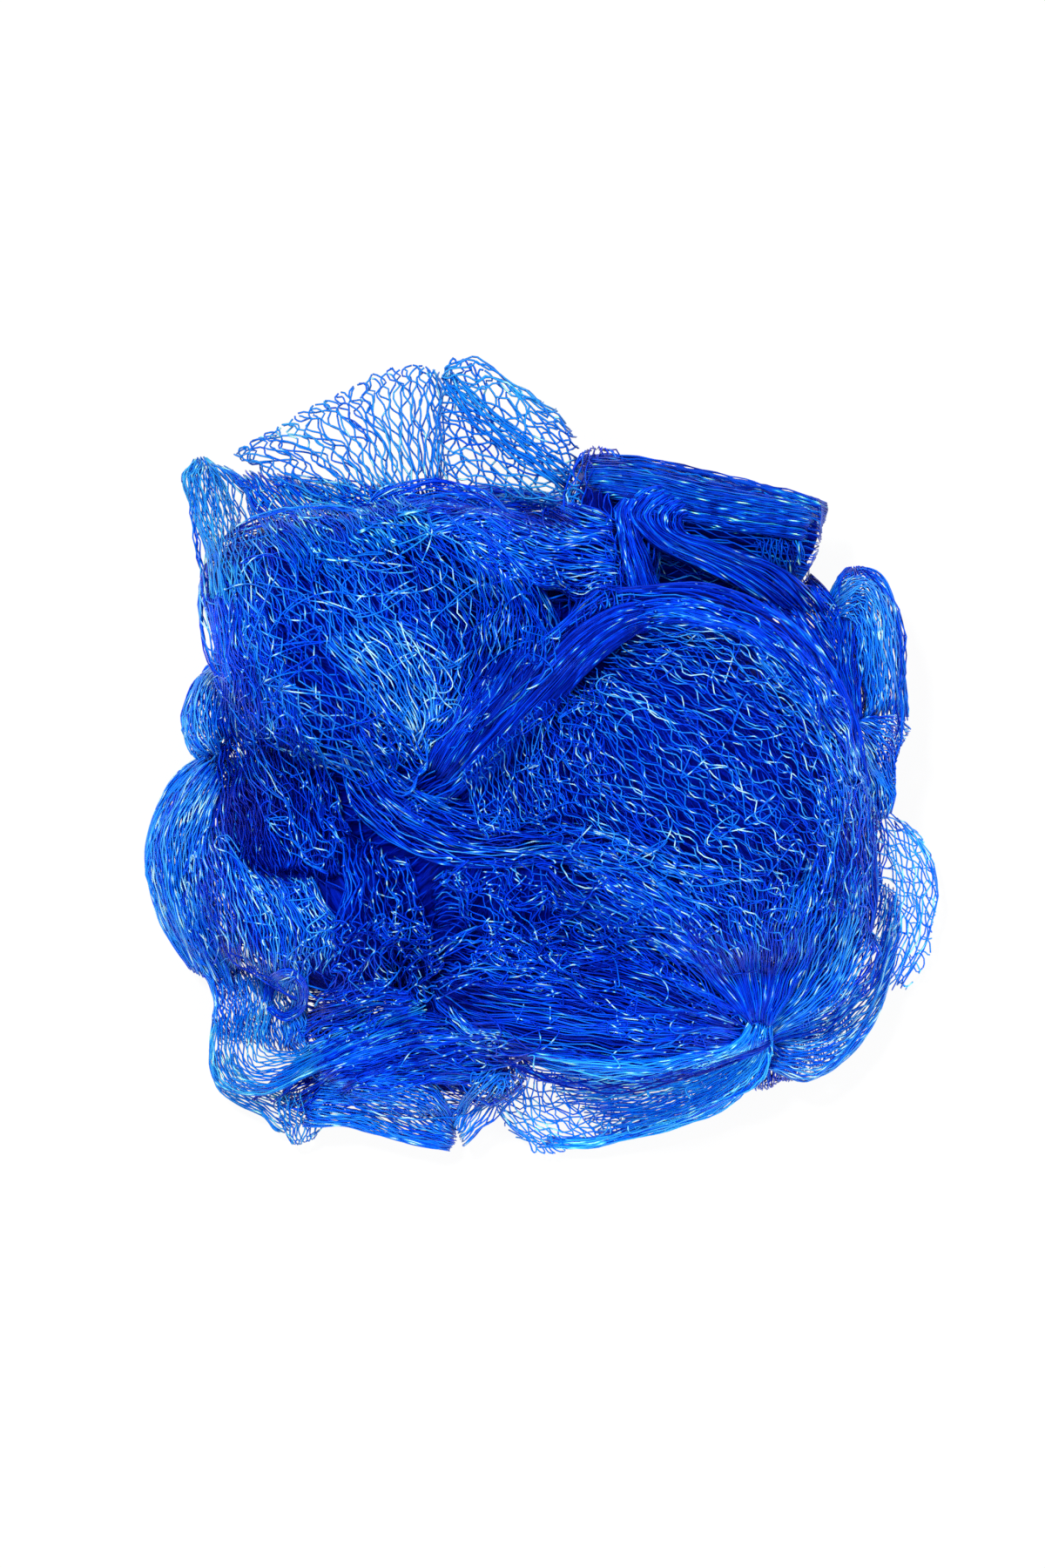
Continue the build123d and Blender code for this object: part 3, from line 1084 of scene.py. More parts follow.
        # The shade attribute holds the strands' tone with painted light, shade and highlights.
        shade = mesh.attributes.new("strand_tone_and_painted_light", "FLOAT", "POINT")
        shade.data.foreach_set("value", np.concatenate(self.tones).astype(np.float32))
        flow = mesh.attributes.new("strand_flow", "FLOAT_VECTOR", "POINT")
        flow.data.foreach_set("vector", np.concatenate(self.flows).astype(np.float32).ravel())
        for material in materials:
            mesh.materials.append(material)
        mesh.update(calc_edges=True)
        mesh.validate()
        piece = bpy.data.objects.new(self.name, mesh)
        bpy.context.scene.collection.objects.link(piece)
        return piece


def node_group(name: str, inputs: dict[str, str], outputs: dict[str, str]) -> bpy.types.NodeTree:
    """A new shader node group with named sockets.

    Args:
        name: The group's name.
        inputs: Each input's name and the type of its socket, without the words that all types begin with.
        outputs: The same for each output.

    Returns:
        The group, with its input and output nodes in it.
    """
    group = bpy.data.node_groups.new(name, "ShaderNodeTree")
    for way, sockets in (("INPUT", inputs), ("OUTPUT", outputs)):
        for socket, kind in sockets.items():
            group.interface.new_socket(socket, in_out=way, socket_type=f"NodeSocket{kind}")
    group.nodes.new("NodeGroupInput").name = "given"
    group.nodes.new("NodeGroupOutput").name = "made"
    return group


# The filament's colours: the cloud's fineness, how much of the ramp a shade of 1 reaches, the range of
# roughness, and the ramp's stops, linear: the deep stops also carry painted shade, the pale top stops painted
# highlights.
CLOUD_SCALE = 110.0
RAMP_SHARE = 0.5
GLOSS = (0.16, 0.38)
STRAND_STOPS = (
    (0.0, (0.0, 0.009, 0.34)),
    (0.20, (0.0005, 0.052, 0.87)),
    (0.40, (0.004, 0.20, 0.92)),
    (0.56, (0.06, 0.46, 1.0)),
    (0.82, (0.52, 0.90, 1.0)),
)

# The imported layers' streaks: their fineness along and round, their detail, and the noise that they fade over
# from painted shadow to painted light.
STREAK_SCALE = (7.0, 26.0, 26.0)
STREAK_DETAIL = 3.0
STREAK_BAND = (0.42, 0.68)


def strand_colour_group() -> bpy.types.NodeTree:
    """The filament's colour: its shade plus a slow cloud, through stops from shadow blue to a pale glint; the
    shade holds painted light, shade and highlights.
    """
    found = bpy.data.node_groups.get("strand_colour")
    if found:
        return found
    inputs = {"Shade": "Float", "Place": "Vector", "Cloud": "Float", "Tint": "Color"}
    group = node_group("strand_colour", inputs, {"Colour": "Color", "Roughness": "Float"})
    bench = Bench(group)
    given = group.nodes["given"].outputs
    cloud = bench.add("TexNoise", {"Scale": CLOUD_SCALE, "Vector": given["Place"]})
    centred = bench.maths("SUBTRACT", cloud.outputs["Fac"], 0.5)
    total = bench.maths("MULTIPLY_ADD", centred, given["Cloud"], given["Shade"])
    ramp = bench.add("ValToRGB", {"Fac": bench.maths("MULTIPLY", total, RAMP_SHARE)})
    stops = ramp.color_ramp.elements
    for step, (position, colour) in enumerate(STRAND_STOPS):
        stop = stops[step] if step < 2 else stops.new(position)
        stop.position, stop.color = position, (*colour, 1)
    tinted = bench.add("Mix", {"Factor": 1.0, "A": ramp.outputs["Color"], "B": given["Tint"]},
                       data_type="RGBA", blend_type="MULTIPLY")
    gloss = bench.add("MapRange", {"To Min": GLOSS[0], "To Max": GLOSS[1], "Value": cloud.outputs["Fac"]})
    bench.feed(group.nodes["made"], {"Colour": tinted.outputs["Result"],
                                     "Roughness": gloss.outputs["Result"]})
    return group


def packed_painted_shade_group() -> bpy.types.NodeTree:
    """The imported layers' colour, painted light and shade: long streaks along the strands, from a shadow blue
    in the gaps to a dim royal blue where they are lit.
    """
    found = bpy.data.node_groups.get("packed_painted_shade")
    if found:
        return found
    inputs = {"Flow": "Vector", "Shadow": "Color", "Lit": "Color"}
    group = node_group("packed_painted_shade", inputs, {"Colour": "Color", "Height": "Float"})
    bench = Bench(group)
    given = group.nodes["given"].outputs
    scaled = bench.add("VectorMath", {0: given["Flow"], 1: STREAK_SCALE}, operation="MULTIPLY")
    streak = bench.add("TexNoise", {"Scale": 1.0, "Detail": STREAK_DETAIL, "Vector": scaled.outputs[0]})
    band = bench.add("MapRange", {"From Min": STREAK_BAND[0], "From Max": STREAK_BAND[1],
                                  "Value": streak.outputs["Fac"]})
    mix = bench.add("Mix", {"Factor": band.outputs["Result"], "A": given["Shadow"], "B": given["Lit"]},
                    data_type="RGBA")
    bench.feed(group.nodes["made"], {"Colour": mix.outputs["Result"], "Height": streak.outputs["Fac"]})
    return group


@dataclass(frozen=True)
class FilamentFinish(Finish):
    """The drawn plastic filament: a clear blue with a sharp gloss.

    Attributes:
        cloud: How far the slow cloud moves the shade.
        tint: What every shade is multiplied by, linear.
        mirror: The strength of its reflection, 0.5 for that of its refractive index alone.
        refraction: Its refractive index.
        mirror_tint: The colour of its reflection.
    """

    cloud: float = 0.5
    tint: Triple = (1.0, 1.0, 1.0)
    mirror: float = 0.15
    refraction: float = 1.52
    mirror_tint: Triple = (0.2, 0.55, 1.0)

    def dress(self, bench: Bench) -> None:
        """Colours the filament by its shade, which holds painted light, shade and highlights, with a gloss that
        varies along it.
        """
        shade = bench.add("Attribute", attribute_name="strand_tone_and_painted_light")
        where = bench.add("TexCoord")
        colour = bench.add("Group", node_tree=strand_colour_group())
        bench.feed(colour, {"Cloud": self.cloud, "Tint": (*self.tint, 1), "Shade": shade.outputs["Fac"],
                            "Place": where.outputs["Object"]})
        bench.feed(bench.nodes["Principled BSDF"], {
            "IOR": self.refraction, "Specular IOR Level": self.mirror,
            "Specular Tint": (*self.mirror_tint, 1), "Base Color": colour.outputs["Colour"],
            "Roughness": colour.outputs["Roughness"]})


@dataclass(frozen=True)
class PackedFinish(Finish):
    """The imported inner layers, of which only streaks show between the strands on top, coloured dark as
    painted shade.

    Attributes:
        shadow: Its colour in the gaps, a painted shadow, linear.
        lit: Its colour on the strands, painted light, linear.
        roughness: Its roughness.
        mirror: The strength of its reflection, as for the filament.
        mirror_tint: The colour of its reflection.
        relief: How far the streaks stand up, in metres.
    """

    shadow: Triple
    lit: Triple
    roughness: float = 0.55
    mirror: float = 0.1
    mirror_tint: Triple = (0.1, 0.4, 1.0)
    relief: float = 0.0004

    def dress(self, bench: Bench) -> None:
        """Streaks along the strands in painted light and shade, raised a little."""
        flow = bench.add("Attribute", attribute_name="strand_flow")
        colour = bench.add("Group", node_tree=packed_painted_shade_group())
        bench.feed(colour, {"Shadow": (*self.shadow, 1), "Lit": (*self.lit, 1),
                            "Flow": flow.outputs["Vector"]})
        bump = bench.add("Bump", {"Distance": self.relief, "Height": colour.outputs["Height"]})
        bench.feed(bench.nodes["Principled BSDF"], {
            "Roughness": self.roughness, "Specular IOR Level": self.mirror,
            "Specular Tint": (*self.mirror_tint, 1), "Base Color": colour.outputs["Colour"],
            "Normal": bump.outputs["Normal"]})


OPEN_FILAMENT = FilamentFinish("open_filament")
DENSE_FILAMENT = FilamentFinish("dense_filament", tint=(1.0, 1.15, 0.8))
# The flaps' copy has less red and blue: its dimmer blue is painted shade for flaps that stand high in the
# light.
SINGLE_FILAMENT = FilamentFinish("single_filament", tint=(0.8, 1.0, 0.86), mirror=0.08)
# The low pieces' copy is brighter: painted light where the wad above shades them.
LOW_FILAMENT_PAINTED_LIGHT = FilamentFinish("low_filament_painted_light", tint=(0.9, 1.35, 1.25), mirror=0.08)
# The inner layers' colours are painted shade: a shadow blue in the gaps and a dim royal blue on the streaks.
PACKED_NET = PackedFinish("packed_net", (0.0, 0.0012, 0.17), (0.0002, 0.015, 0.52))


@dataclass
class Net:
    """Layers of net over one surface.

    Attributes:
        surface: What they lie on.
        layers: The layers.
    """

    surface: Surface
    layers: tuple[NetLayer | Strays, ...]


@dataclass
class NetPiece:
    """One fold, rope or flap of the wad, which stands for a solid of the same name.

    Attributes:
        name: The solid's name.
        slot: The record's material slot; not used.
        nets: Its nets.
        lining_inset: How far inside the first net's surface its packed inner layers lie, or 0 for none.
        radius: The filament's radius.
        finish: The filament's looks.
    """

    name: str
    slot: str
    nets: tuple[Net, ...]
    lining_inset: float = 0.0
    radius: float = FILAMENT_RADIUS
    finish: FilamentFinish = OPEN_FILAMENT

    LINING_ENDS: ClassVar[tuple[float, float]] = (0.02, 0.98)
    LINING_RINGS: ClassVar[int] = 60
    LINING_POINTS: ClassVar[int] = 96
    LINING_TONE: ClassVar[float] = 0.2
    LINING_SLOT: ClassVar[int] = 1

    def build(self) -> bpy.types.Object:
        """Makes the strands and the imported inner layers, and rides them on the wad.

        The flat size is that of the net drawn shut: as wide as its filaments side by side plus half of
        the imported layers' girth, and as long as its filaments are on average.
        """
        maker = MeshMaker(f"{self.name}_net")
        strands, length = 0, 0.0
        for net in self.nets:
            for layer in net.layers:
                lines, outward, shade = layer.strand_lines(net.surface)
                maker.add_tubes(lines, outward, self.radius, shade)
                length += np.linalg.norm(np.diff(lines, axis=1), axis=-1).sum()
                strands += layer.strands
        length /= strands
        width = strands * 2 * self.radius
        if self.lining_inset:
            u = np.linspace(*self.LINING_ENDS, self.LINING_RINGS)[:, None]
            v = np.arange(self.LINING_POINTS)[None, :] / self.LINING_POINTS
            grid = self.nets[0].surface.point(u, v, self.lining_inset)
            grid[..., 2] = np.maximum(grid[..., 2], FLOOR_GAP)
            maker.add_skin(grid, self.LINING_TONE, self.LINING_SLOT)
            width += maker.area_of_last() / length / 2
        piece = maker.make([self.finish.material(), PACKED_NET.material()])
        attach(piece, BODY)
        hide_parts(self.name)
        log.info("%s: %d points, flat %.3f by %.3f", self.name, maker.count, width, length)
        return piece


# What each layer of a shell differs by from the one over it, its painted shade among them, and the outermost
# one's stray.
SHELL_TURN = 0.013
SHELL_PAINTED_SHADE = 0.12
SHELL_LIFT = 0.0004
SHELL_LIFT_STEP = 0.0002
SHELL_SEED_STEP = 11

# How far a laid net reaches past its outer guides, how its seeds come about, and the steps of looped strands.
PATCH_OVERHANG = 0.015
PATCH_SEED_RATES = (7, 3)
PATCH_SEED_STEP = 17
STRAY_SEED_STEP = 3
LOOP_STEPS = 5


def shell(strands: int, rows: int, count: int, seed: int, tone: float = 0.25) -> tuple[NetLayer, ...]:
    """Layers one inside the other round a whole fold.

    Args:
        strands: Filaments in each.
        rows: Diamonds along each.
        count: How many layers.
        seed: The first layer's seed.
        tone: Their shade, set as painted light and shade.

    Returns:
        The layers from the outermost in, each turned a little further than the one over it and darker by a
        painted shade.
    """
    return tuple(
        NetLayer(strands + 2 * (step % 3), rows + step % 2, inset=LAYER_GAP * step,
                 start_turn=SHELL_TURN * step, end_turn=1 + SHELL_TURN * step, tone=tone - SHELL_PAINTED_SHADE * step,
                 seed=seed + SHELL_SEED_STEP * step, lift=SHELL_LIFT + SHELL_LIFT_STEP * step)
        for step in range(count)
    )


def laid(guides: Guides, strands: int, rows: int, tone: float = 0.4,
         corners: tuple[float, ...] = (12, 12, 12, 12), count: int = 1, painted_glint_share: float = 0.05,
         lift: float = 0.0014, bulge: float = 0.0, wobble: float = 5.0, edge: EdgeKind = EdgeKind.BURIED,
         bury: float = 0.003, ragged: float = 0.06, strays: int = 0, open_share: float = 0.38, steps: int = 2,
         dim: float = LAYER_PAINTED_SHADE, spread: float = SHADE_SPREAD) -> Net:
    """Net laid over the folds along lines traced from the photograph.

    Args:
        guides: The traced lines in pixels, each along the strands.
        strands: Filaments side by side.
        rows: Diamonds along each.
        tone: Their shade, set as painted light and shade.
        corners: The net's own heights in millimetres, as in DrapedPatch.
        count: How many layers, each a little lower, darker by a painted shade, and shifted aside.
        painted_glint_share: The share of their length painted with highlights.
        lift: How far it lies over the folds, in metres.
        bulge: How far its middle stands up, in metres.
        wobble: How far its strands wave aside, in pixels.
        edge: How the strands end.
        bury: How far the ends and sides sink, in metres.
        ragged: How unevenly the strands begin and end.
        strays: How many loose strands lie over it.
        open_share: How far the diamonds open, of the pitch.
        steps: Points on each half diamond, unless the strands end in loops.
        dim: The painted shade that darkens each lower layer.
        spread: How far single strands' shades stray.

    Returns:
        The net.
    """
    seed = int(guides[0][0][0] * PATCH_SEED_RATES[0] + guides[-1][-1][1] * PATCH_SEED_RATES[1] + strands)
    surface = DrapedPatch(guides, corners, lift, bulge, wobble, seed)
    layers = tuple(
        NetLayer(strands + step, rows + step % 2, inset=LAYER_GAP * step, start_turn=-PATCH_OVERHANG,
                 end_turn=1 + PATCH_OVERHANG, tone=tone - dim * step, seed=seed + PATCH_SEED_STEP * step,
                 steps=LOOP_STEPS if edge is EdgeKind.LOOPED else steps, edge=edge, open_share=open_share,
                 spread=spread, painted_glint_share=painted_glint_share, leans=False, bury=bury, ragged=ragged)
        for step in range(count)
    )
    loose = (Strays(strays, tone, seed + STRAY_SEED_STEP),) if strays else ()
    return Net(surface, layers + loose)


# Guide lines traced from the photograph: points in its pixels, each line along the strands there,
# side by side in the order that they lie across the net.
LEFT_LOBE_TOP = (
    ((255, 650), (270, 720), (300, 790), (350, 860), (420, 905)),
    ((280, 610), (320, 690), (365, 770), (410, 840), (450, 885)),
    ((330, 590), (375, 670), (420, 750), (455, 820), (470, 875)),
    ((380, 600), (430, 670), (470, 740), (490, 800), (485, 865)),
    ((430, 600), (490, 670), (520, 740), (520, 800), (500, 860)),
    ((470, 590), (540, 650), (565, 720), (550, 790), (515, 860)),
    ((500, 580), (580, 650), (610, 720), (585, 780), (530, 860)),
    ((510, 575), (610, 660), (645, 735), (610, 790), (545, 850)),
)
LEFT_LOBE_GLEAM = (
    ((365, 735), (415, 790), (465, 852)),
    ((405, 715), (455, 775), (487, 845)),
    ((455, 705), (495, 765), (505, 835)),
)
LEFT_LOBE_COMB = (
    ((530, 630), (548, 680), (550, 745)),
    ((560, 640), (578, 690), (574, 750)),
    ((585, 660), (604, 705), (600, 760)),
    ((610, 690), (628, 730), (625, 770)),
)
LEFT_LOBE_LOOPS = (
    ((400, 840), (425, 880), (455, 915), (475, 905)),
    ((420, 820), (450, 860), (478, 890), (490, 870)),
    ((440, 800), (470, 835), (492, 862), (495, 845)),
)
LEFT_SIDE = (
    ((235, 680), (243, 740), (248, 790), (250, 850)),
    ((262, 670), (272, 740), (285, 790), (290, 855)),
    ((300, 680), (320, 740), (340, 800), (350, 870)),
)
LEFT_HOLLOW = (
    ((262, 850), (290, 910), (325, 975), (375, 1000)),
    ((290, 820), (330, 890), (365, 950), (400, 975)),
    ((330, 800), (370, 870), (390, 930), (405, 955)),
)
RIGHT_LOBE_TOP = (
    ((730, 714), (800, 720), (862, 748), (918, 802), (962, 868), (982, 920)),
    ((711, 742), (780, 760), (843, 800), (906, 852), (954, 910), (976, 950)),
    ((675, 768), (733, 800), (790, 847), (843, 895), (896, 947), (938, 1000)),
    ((638, 795), (680, 837), (727, 884), (780, 932), (833, 980), (880, 1030)),
    ((605, 815), (626, 868), (662, 916), (708, 960), (762, 1002), (820, 1048)),
    ((578, 840), (583, 895), (606, 940), (646, 978), (695, 1018), (750, 1066)),
)
RIGHT_LOBE_CROSSING = (
    ((770, 712), (840, 722), (905, 762), (950, 825), (972, 880)),
    ((720, 726), (810, 770), (890, 830), (940, 890), (970, 935)),
    ((690, 760), (780, 830), (870, 890), (930, 930), (960, 970)),
    ((660, 800), (740, 890), (830, 950), (900, 985), (930, 1010)),
    ((640, 850), (700, 930), (780, 1000), (850, 1040), (890, 1060)),
)
RIGHT_LOBE_UPRIGHT = (
    ((528, 885), (540, 925), (560, 968)),
    ((556, 855), (568, 905), (590, 958)),
    ((592, 826), (600, 885), (622, 945)),
    ((640, 795), (642, 860), (660, 940)),
    ((690, 770), (700, 850), (722, 930)),
)
RIGHT_LOBE_EDGE = (
    ((860, 740), (910, 800), (950, 860), (975, 900)),
    ((900, 740), (940, 790), (970, 845), (985, 900)),
    ((935, 760), (965, 800), (982, 850), (990, 900)),
)
BOTTOM_LOBE_TOP = (
    ((600, 1060), (680, 1075), (760, 1100), (820, 1140), (864, 1180)),
    ((560, 1090), (640, 1110), (730, 1130), (810, 1160), (864, 1184)),
    ((530, 1130), (620, 1145), (720, 1160), (800, 1175), (864, 1188)),
    ((515, 1170), (620, 1180), (720, 1192), (800, 1195), (864, 1192)),
    ((520, 1205), (610, 1215), (710, 1222), (800, 1212), (864, 1198)),
)
BOTTOM_LOBE_UPPER = (
    ((700, 1005), (780, 1040), (840, 1100), (872, 1180)),
    ((650, 1015), (730, 1060), (810, 1115), (868, 1180)),
    ((605, 1035), (690, 1080), (790, 1130), (866, 1182)),
)
GATHER_FROM_ABOVE = (
    ((715, 1028), (785, 1092), (862, 1178)),
    ((770, 1010), (825, 1080), (866, 1176)),
    ((840, 1000), (860, 1080), (870, 1176)),
    ((910, 1005), (895, 1090), (878, 1178)),
    ((960, 1030), (925, 1110), (884, 1182)),
)
RIGHT_FAN = (
    ((872, 1182), (890, 1120), (905, 1050), (930, 985)),
    ((876, 1186), (925, 1130), (950, 1060), (965, 985)),
    ((880, 1190), (945, 1140), (980, 1070), (1000, 990)),
    ((884, 1196), (955, 1165), (1005, 1110), (1035, 1030)),
    ((884, 1204), (950, 1206), (1000, 1162), (1032, 1100)),
    ((872, 1222), (925, 1243), (974, 1217), (1014, 1158)),
)
CORNER_LATTICE = (
    ((905, 1160), (915, 1200), (905, 1242)),
    ((935, 1150), (945, 1195), (940, 1230)),
    ((965, 1130), (980, 1170), (975, 1212)),
)
SKIRT_LONG = (
    ((868, 1150), (845, 1192), (780, 1210), (700, 1214), (590, 1196)),
    ((872, 1150), (852, 1198), (790, 1226), (710, 1236), (595, 1232)),
    ((877, 1152), (858, 1208), (805, 1242), (735, 1258), (640, 1262)),
    ((882, 1156), (866, 1220), (820, 1256), (760, 1280), (680, 1300)),
    ((888, 1162), (880, 1232), (838, 1264), (780, 1292), (690, 1316)),
)
SKIRT_RIM = (
    ((850, 1246), (800, 1272), (740, 1290), (680, 1306), (625, 1306)),
    ((858, 1256), (806, 1286), (745, 1303), (680, 1318), (618, 1318)),
)
SKIRT_LEVEL = (
    ((566, 1232), (620, 1250), (690, 1254), (770, 1238)),
    ((562, 1252), (620, 1272), (690, 1270), (785, 1250)),
    ((570, 1280), (630, 1294), (700, 1288), (790, 1262)),
    ((590, 1306), (640, 1318), (700, 1308), (780, 1282)),
)
SKIRT_CROSS = (
    ((566, 1225), (572, 1278), (612, 1322)),
    ((600, 1228), (612, 1282), (650, 1322)),
    ((648, 1234), (664, 1284), (694, 1314)),
    ((700, 1240), (714, 1278), (734, 1304)),
)
LOWER_AZURE = (
    ((300, 1258), (352, 1228), (425, 1202), (500, 1186), (575, 1188)),
    ((315, 1270), (375, 1245), (450, 1226), (520, 1212), (590, 1212)),
    ((350, 1284), (410, 1262), (480, 1248), (550, 1240), (605, 1238)),
)
COMB_CENTRE = (
    ((512, 1150), (545, 1178), (590, 1188)),
    ((505, 1172), (540, 1198), (590, 1206)),
    ((502, 1196), (535, 1216), (585, 1226)),
)
UPPER_FOLD_MAIN = (
    ((660, 521), (720, 522), (800, 541), (880, 558), (954, 574)),
    ((662, 540), (730, 545), (810, 563), (880, 575), (953, 588)),
    ((676, 560), (750, 570), (820, 585), (880, 595), (945, 605)),
    ((740, 590), (780, 600), (830, 608), (880, 616), (932, 622)),
)
NECK_DOWN = (
    ((722, 560), (707, 590), (714, 640), (726, 690)),
    ((735, 562), (718, 590), (730, 640), (745, 692)),
    ((748, 566), (731, 592), (746, 640), (765, 692)),
)
NECK_SWEEP = (
    ((768, 553), (735, 564), (718, 588), (745, 622), (800, 652), (858, 676)),
    ((778, 560), (748, 574), (738, 598), (775, 630), (830, 656), (885, 690)),
    ((790, 570), (765, 583), (762, 605), (810, 630), (868, 656), (925, 705)),
    ((800, 590), (785, 600), (800, 616), (856, 634), (908, 656), (950, 700)),
)
SWEEP_DOWN = (
    ((556, 745), (535, 792), (505, 842), (486, 884)),
    ((598, 738), (570, 785), (530, 838), (497, 888)),
    ((640, 742), (602, 786), (552, 842), (506, 896)),
)
NECK_TUFT = (
    ((868, 618), (872, 650), (885, 690)),
    ((900, 615), (902, 650), (915, 690)),
    ((924, 620), (926, 650), (940, 690)),
)
TOP_CENTRE_LEVEL = (
    ((430, 585), (500, 560), (580, 558), (650, 572), (708, 590)),
    ((450, 615), (530, 590), (600, 600), (660, 610), (712, 620)),
    ((510, 620), (580, 625), (640, 640), (714, 650)),
    ((570, 665), (620, 672), (665, 690), (722, 672)),
)
TOP_CENTRE_ARCS = (
    ((400, 600), (440, 560), (500, 548), (560, 565), (600, 600)),
    ((420, 615), (460, 585), (510, 570), (560, 590), (600, 625)),
    ((440, 630), (480, 605), (520, 595), (560, 620), (600, 655)),
)
LOBE_VALLEY = (
    ((640, 640), (655, 680), (650, 730)),
    ((680, 640), (690, 670), (690, 705)),
    ((715, 640), (725, 665), (735, 690)),
)
UPPER_LEFT_SLOPE = (
    ((258, 535), (300, 600), (340, 665)),
    ((292, 538), (342, 600), (385, 660)),
    ((330, 545), (385, 590), (430, 640)),
    ((385, 550), (432, 588), (472, 632)),
    ((440, 545), (480, 580), (520, 620)),
)
EAR_TUBE = (
    ((228, 525), (208, 545), (218, 580), (236, 630), (242, 690)),
    ((230, 527), (222, 550), (234, 600), (246, 640), (250, 700)),
    ((235, 528), (240, 560), (248, 610), (255, 650), (262, 705)),
    ((240, 528), (262, 560), (270, 610), (275, 650), (285, 700)),
    ((250, 531), (290, 562), (300, 610), (305, 650), (310, 700)),
)
BULGE_SIDE = (
    ((248, 758), (222, 784), (207, 820), (214, 852), (236, 870)),
    ((252, 762), (232, 785), (226, 820), (232, 850), (247, 870)),
    ((264, 768), (252, 792), (248, 820), (252, 850), (262, 872)),
)
LEFT_ROLL_SIDE = (
    ((238, 862), (194, 895), (169, 950), (167, 1000), (182, 1060), (214, 1112)),
    ((242, 870), (209, 905), (189, 955), (189, 1010), (203, 1065), (230, 1124)),
    ((248, 880), (228, 920), (212, 965), (212, 1015), (225, 1070), (250, 1130)),
    ((256, 895), (246, 930), (236, 975), (238, 1020), (248, 1070), (268, 1135)),
)
LOWER_LEFT_FRONT = (
    ((200, 1040), (215, 1085), (252, 1150)),
    ((222, 965), (238, 1050), (277, 1150)),
    ((248, 945), (277, 1040), (302, 1150)),
    ((282, 985), (315, 1060), (326, 1140)),
    ((315, 1000), (350, 1065), (350, 1125)),
    ((355, 1005), (385, 1065), (375, 1115)),
)
FRINGE_LEFT = (
    ((385, 955), (395, 1020), (372, 1078)),
    ((410, 960), (418, 1020), (410, 1076)),
    ((435, 970), (445, 1030), (455, 1076)),
    ((465, 985), (485, 1035), (495, 1078)),
)
LOWER_PITS = (
    ((362, 1062), (380, 1108), (370, 1152)),
    ((408, 1056), (416, 1102), (412, 1150)),
    ((450, 1050), (460, 1100), (456, 1150)),
    ((492, 1058), (500, 1102), (492, 1150)),
)
RECESS_MESS = (
    ((500, 1000), (540, 1060), (580, 1128)),
    ((560, 985), (605, 1048), (655, 1108)),
    ((620, 978), (672, 1036), (728, 1086)),
    ((680, 985), (730, 1030), (785, 1070)),
)
RECESS_TURNED = (
    ((462, 1092), (530, 1062), (600, 1072), (670, 1108)),
    ((470, 1120), (540, 1098), (610, 1104), (680, 1136)),
    ((490, 1150), (555, 1134), (620, 1140), (690, 1160)),
)
RECESS_LADDER = (
    ((495, 1010), (512, 998), (532, 1006), (536, 1022)),
    ((494, 1032), (512, 1020), (533, 1028), (538, 1045)),
    ((496, 1052), (514, 1042), (535, 1050), (540, 1066)),
    ((498, 1070), (516, 1062), (537, 1070), (542, 1084)),
)
LOWER_CENTRE_BAND = (
    ((480, 1140), (430, 1128), (365, 1140)),
    ((478, 1150), (405, 1158), (345, 1180)),
    ((478, 1160), (415, 1190), (350, 1212)),
)
LOWER_SWEEP = (
    ((288, 1262), (345, 1215), (405, 1188), (470, 1165), (520, 1170)),
    ((315, 1272), (370, 1232), (430, 1208), (500, 1195), (560, 1195)),
    ((345, 1285), (400, 1250), (460, 1232), (520, 1225), (580, 1222)),
)
BOTTOM_ROLL = (
    ((375, 1240), (440, 1235), (500, 1250), (525, 1292)),
    ((358, 1255), (420, 1255), (480, 1275), (523, 1303)),
    ((348, 1275), (410, 1282), (470, 1304), (522, 1316)),
    ((345, 1293), (395, 1295), (450, 1309), (517, 1322)),
)
ROLL_TIP = (
    ((530, 1318), (562, 1290), (606, 1252)),
    ((524, 1304), (548, 1272), (588, 1232)),
    ((518, 1290), (532, 1258), (560, 1222)),
)
CORNER_FLAP = (
    ((244, 1163), (239, 1215), (252, 1248), (300, 1258), (352, 1236), (425, 1202), (490, 1178)),
    ((262, 1160), (257, 1205), (268, 1236), (312, 1246), (360, 1222), (430, 1188), (490, 1166)),
    ((290, 1150), (281, 1192), (290, 1222), (325, 1226), (370, 1205), (435, 1174), (490, 1154)),
    ((318, 1148), (306, 1182), (316, 1206), (345, 1204), (382, 1186), (440, 1160), (490, 1144)),
)
CORNER_RIM = (
    ((243, 1200), (250, 1250), (297, 1280), (322, 1302)),
    ((252, 1205), (268, 1246), (308, 1268), (345, 1294)),
    ((270, 1210), (286, 1240), (330, 1256), (372, 1277)),
)
CORNER_CROSS = (
    ((318, 1258), (322, 1290), (334, 1313)),
    ((346, 1248), (346, 1285), (346, 1314)),
    ((385, 1255), (376, 1285), (360, 1306)),
)
CROSSING_BAND = (
    ((500, 905), (548, 845), (600, 785), (655, 725), (705, 697), (745, 688)),
    ((505, 918), (560, 862), (615, 803), (668, 745), (715, 712), (752, 703)),
    ((515, 932), (580, 878), (632, 822), (680, 768), (728, 730), (765, 718)),
)
RIM_BAND = (
    ((705, 697), (755, 687), (810, 692), (860, 706), (905, 735), (945, 778), (972, 830)),
    ((715, 708), (765, 699), (815, 706), (858, 722), (898, 752), (932, 795), (960, 845)),
    ((725, 725), (775, 714), (818, 722), (855, 740), (888, 770), (920, 812), (950, 860)),
)
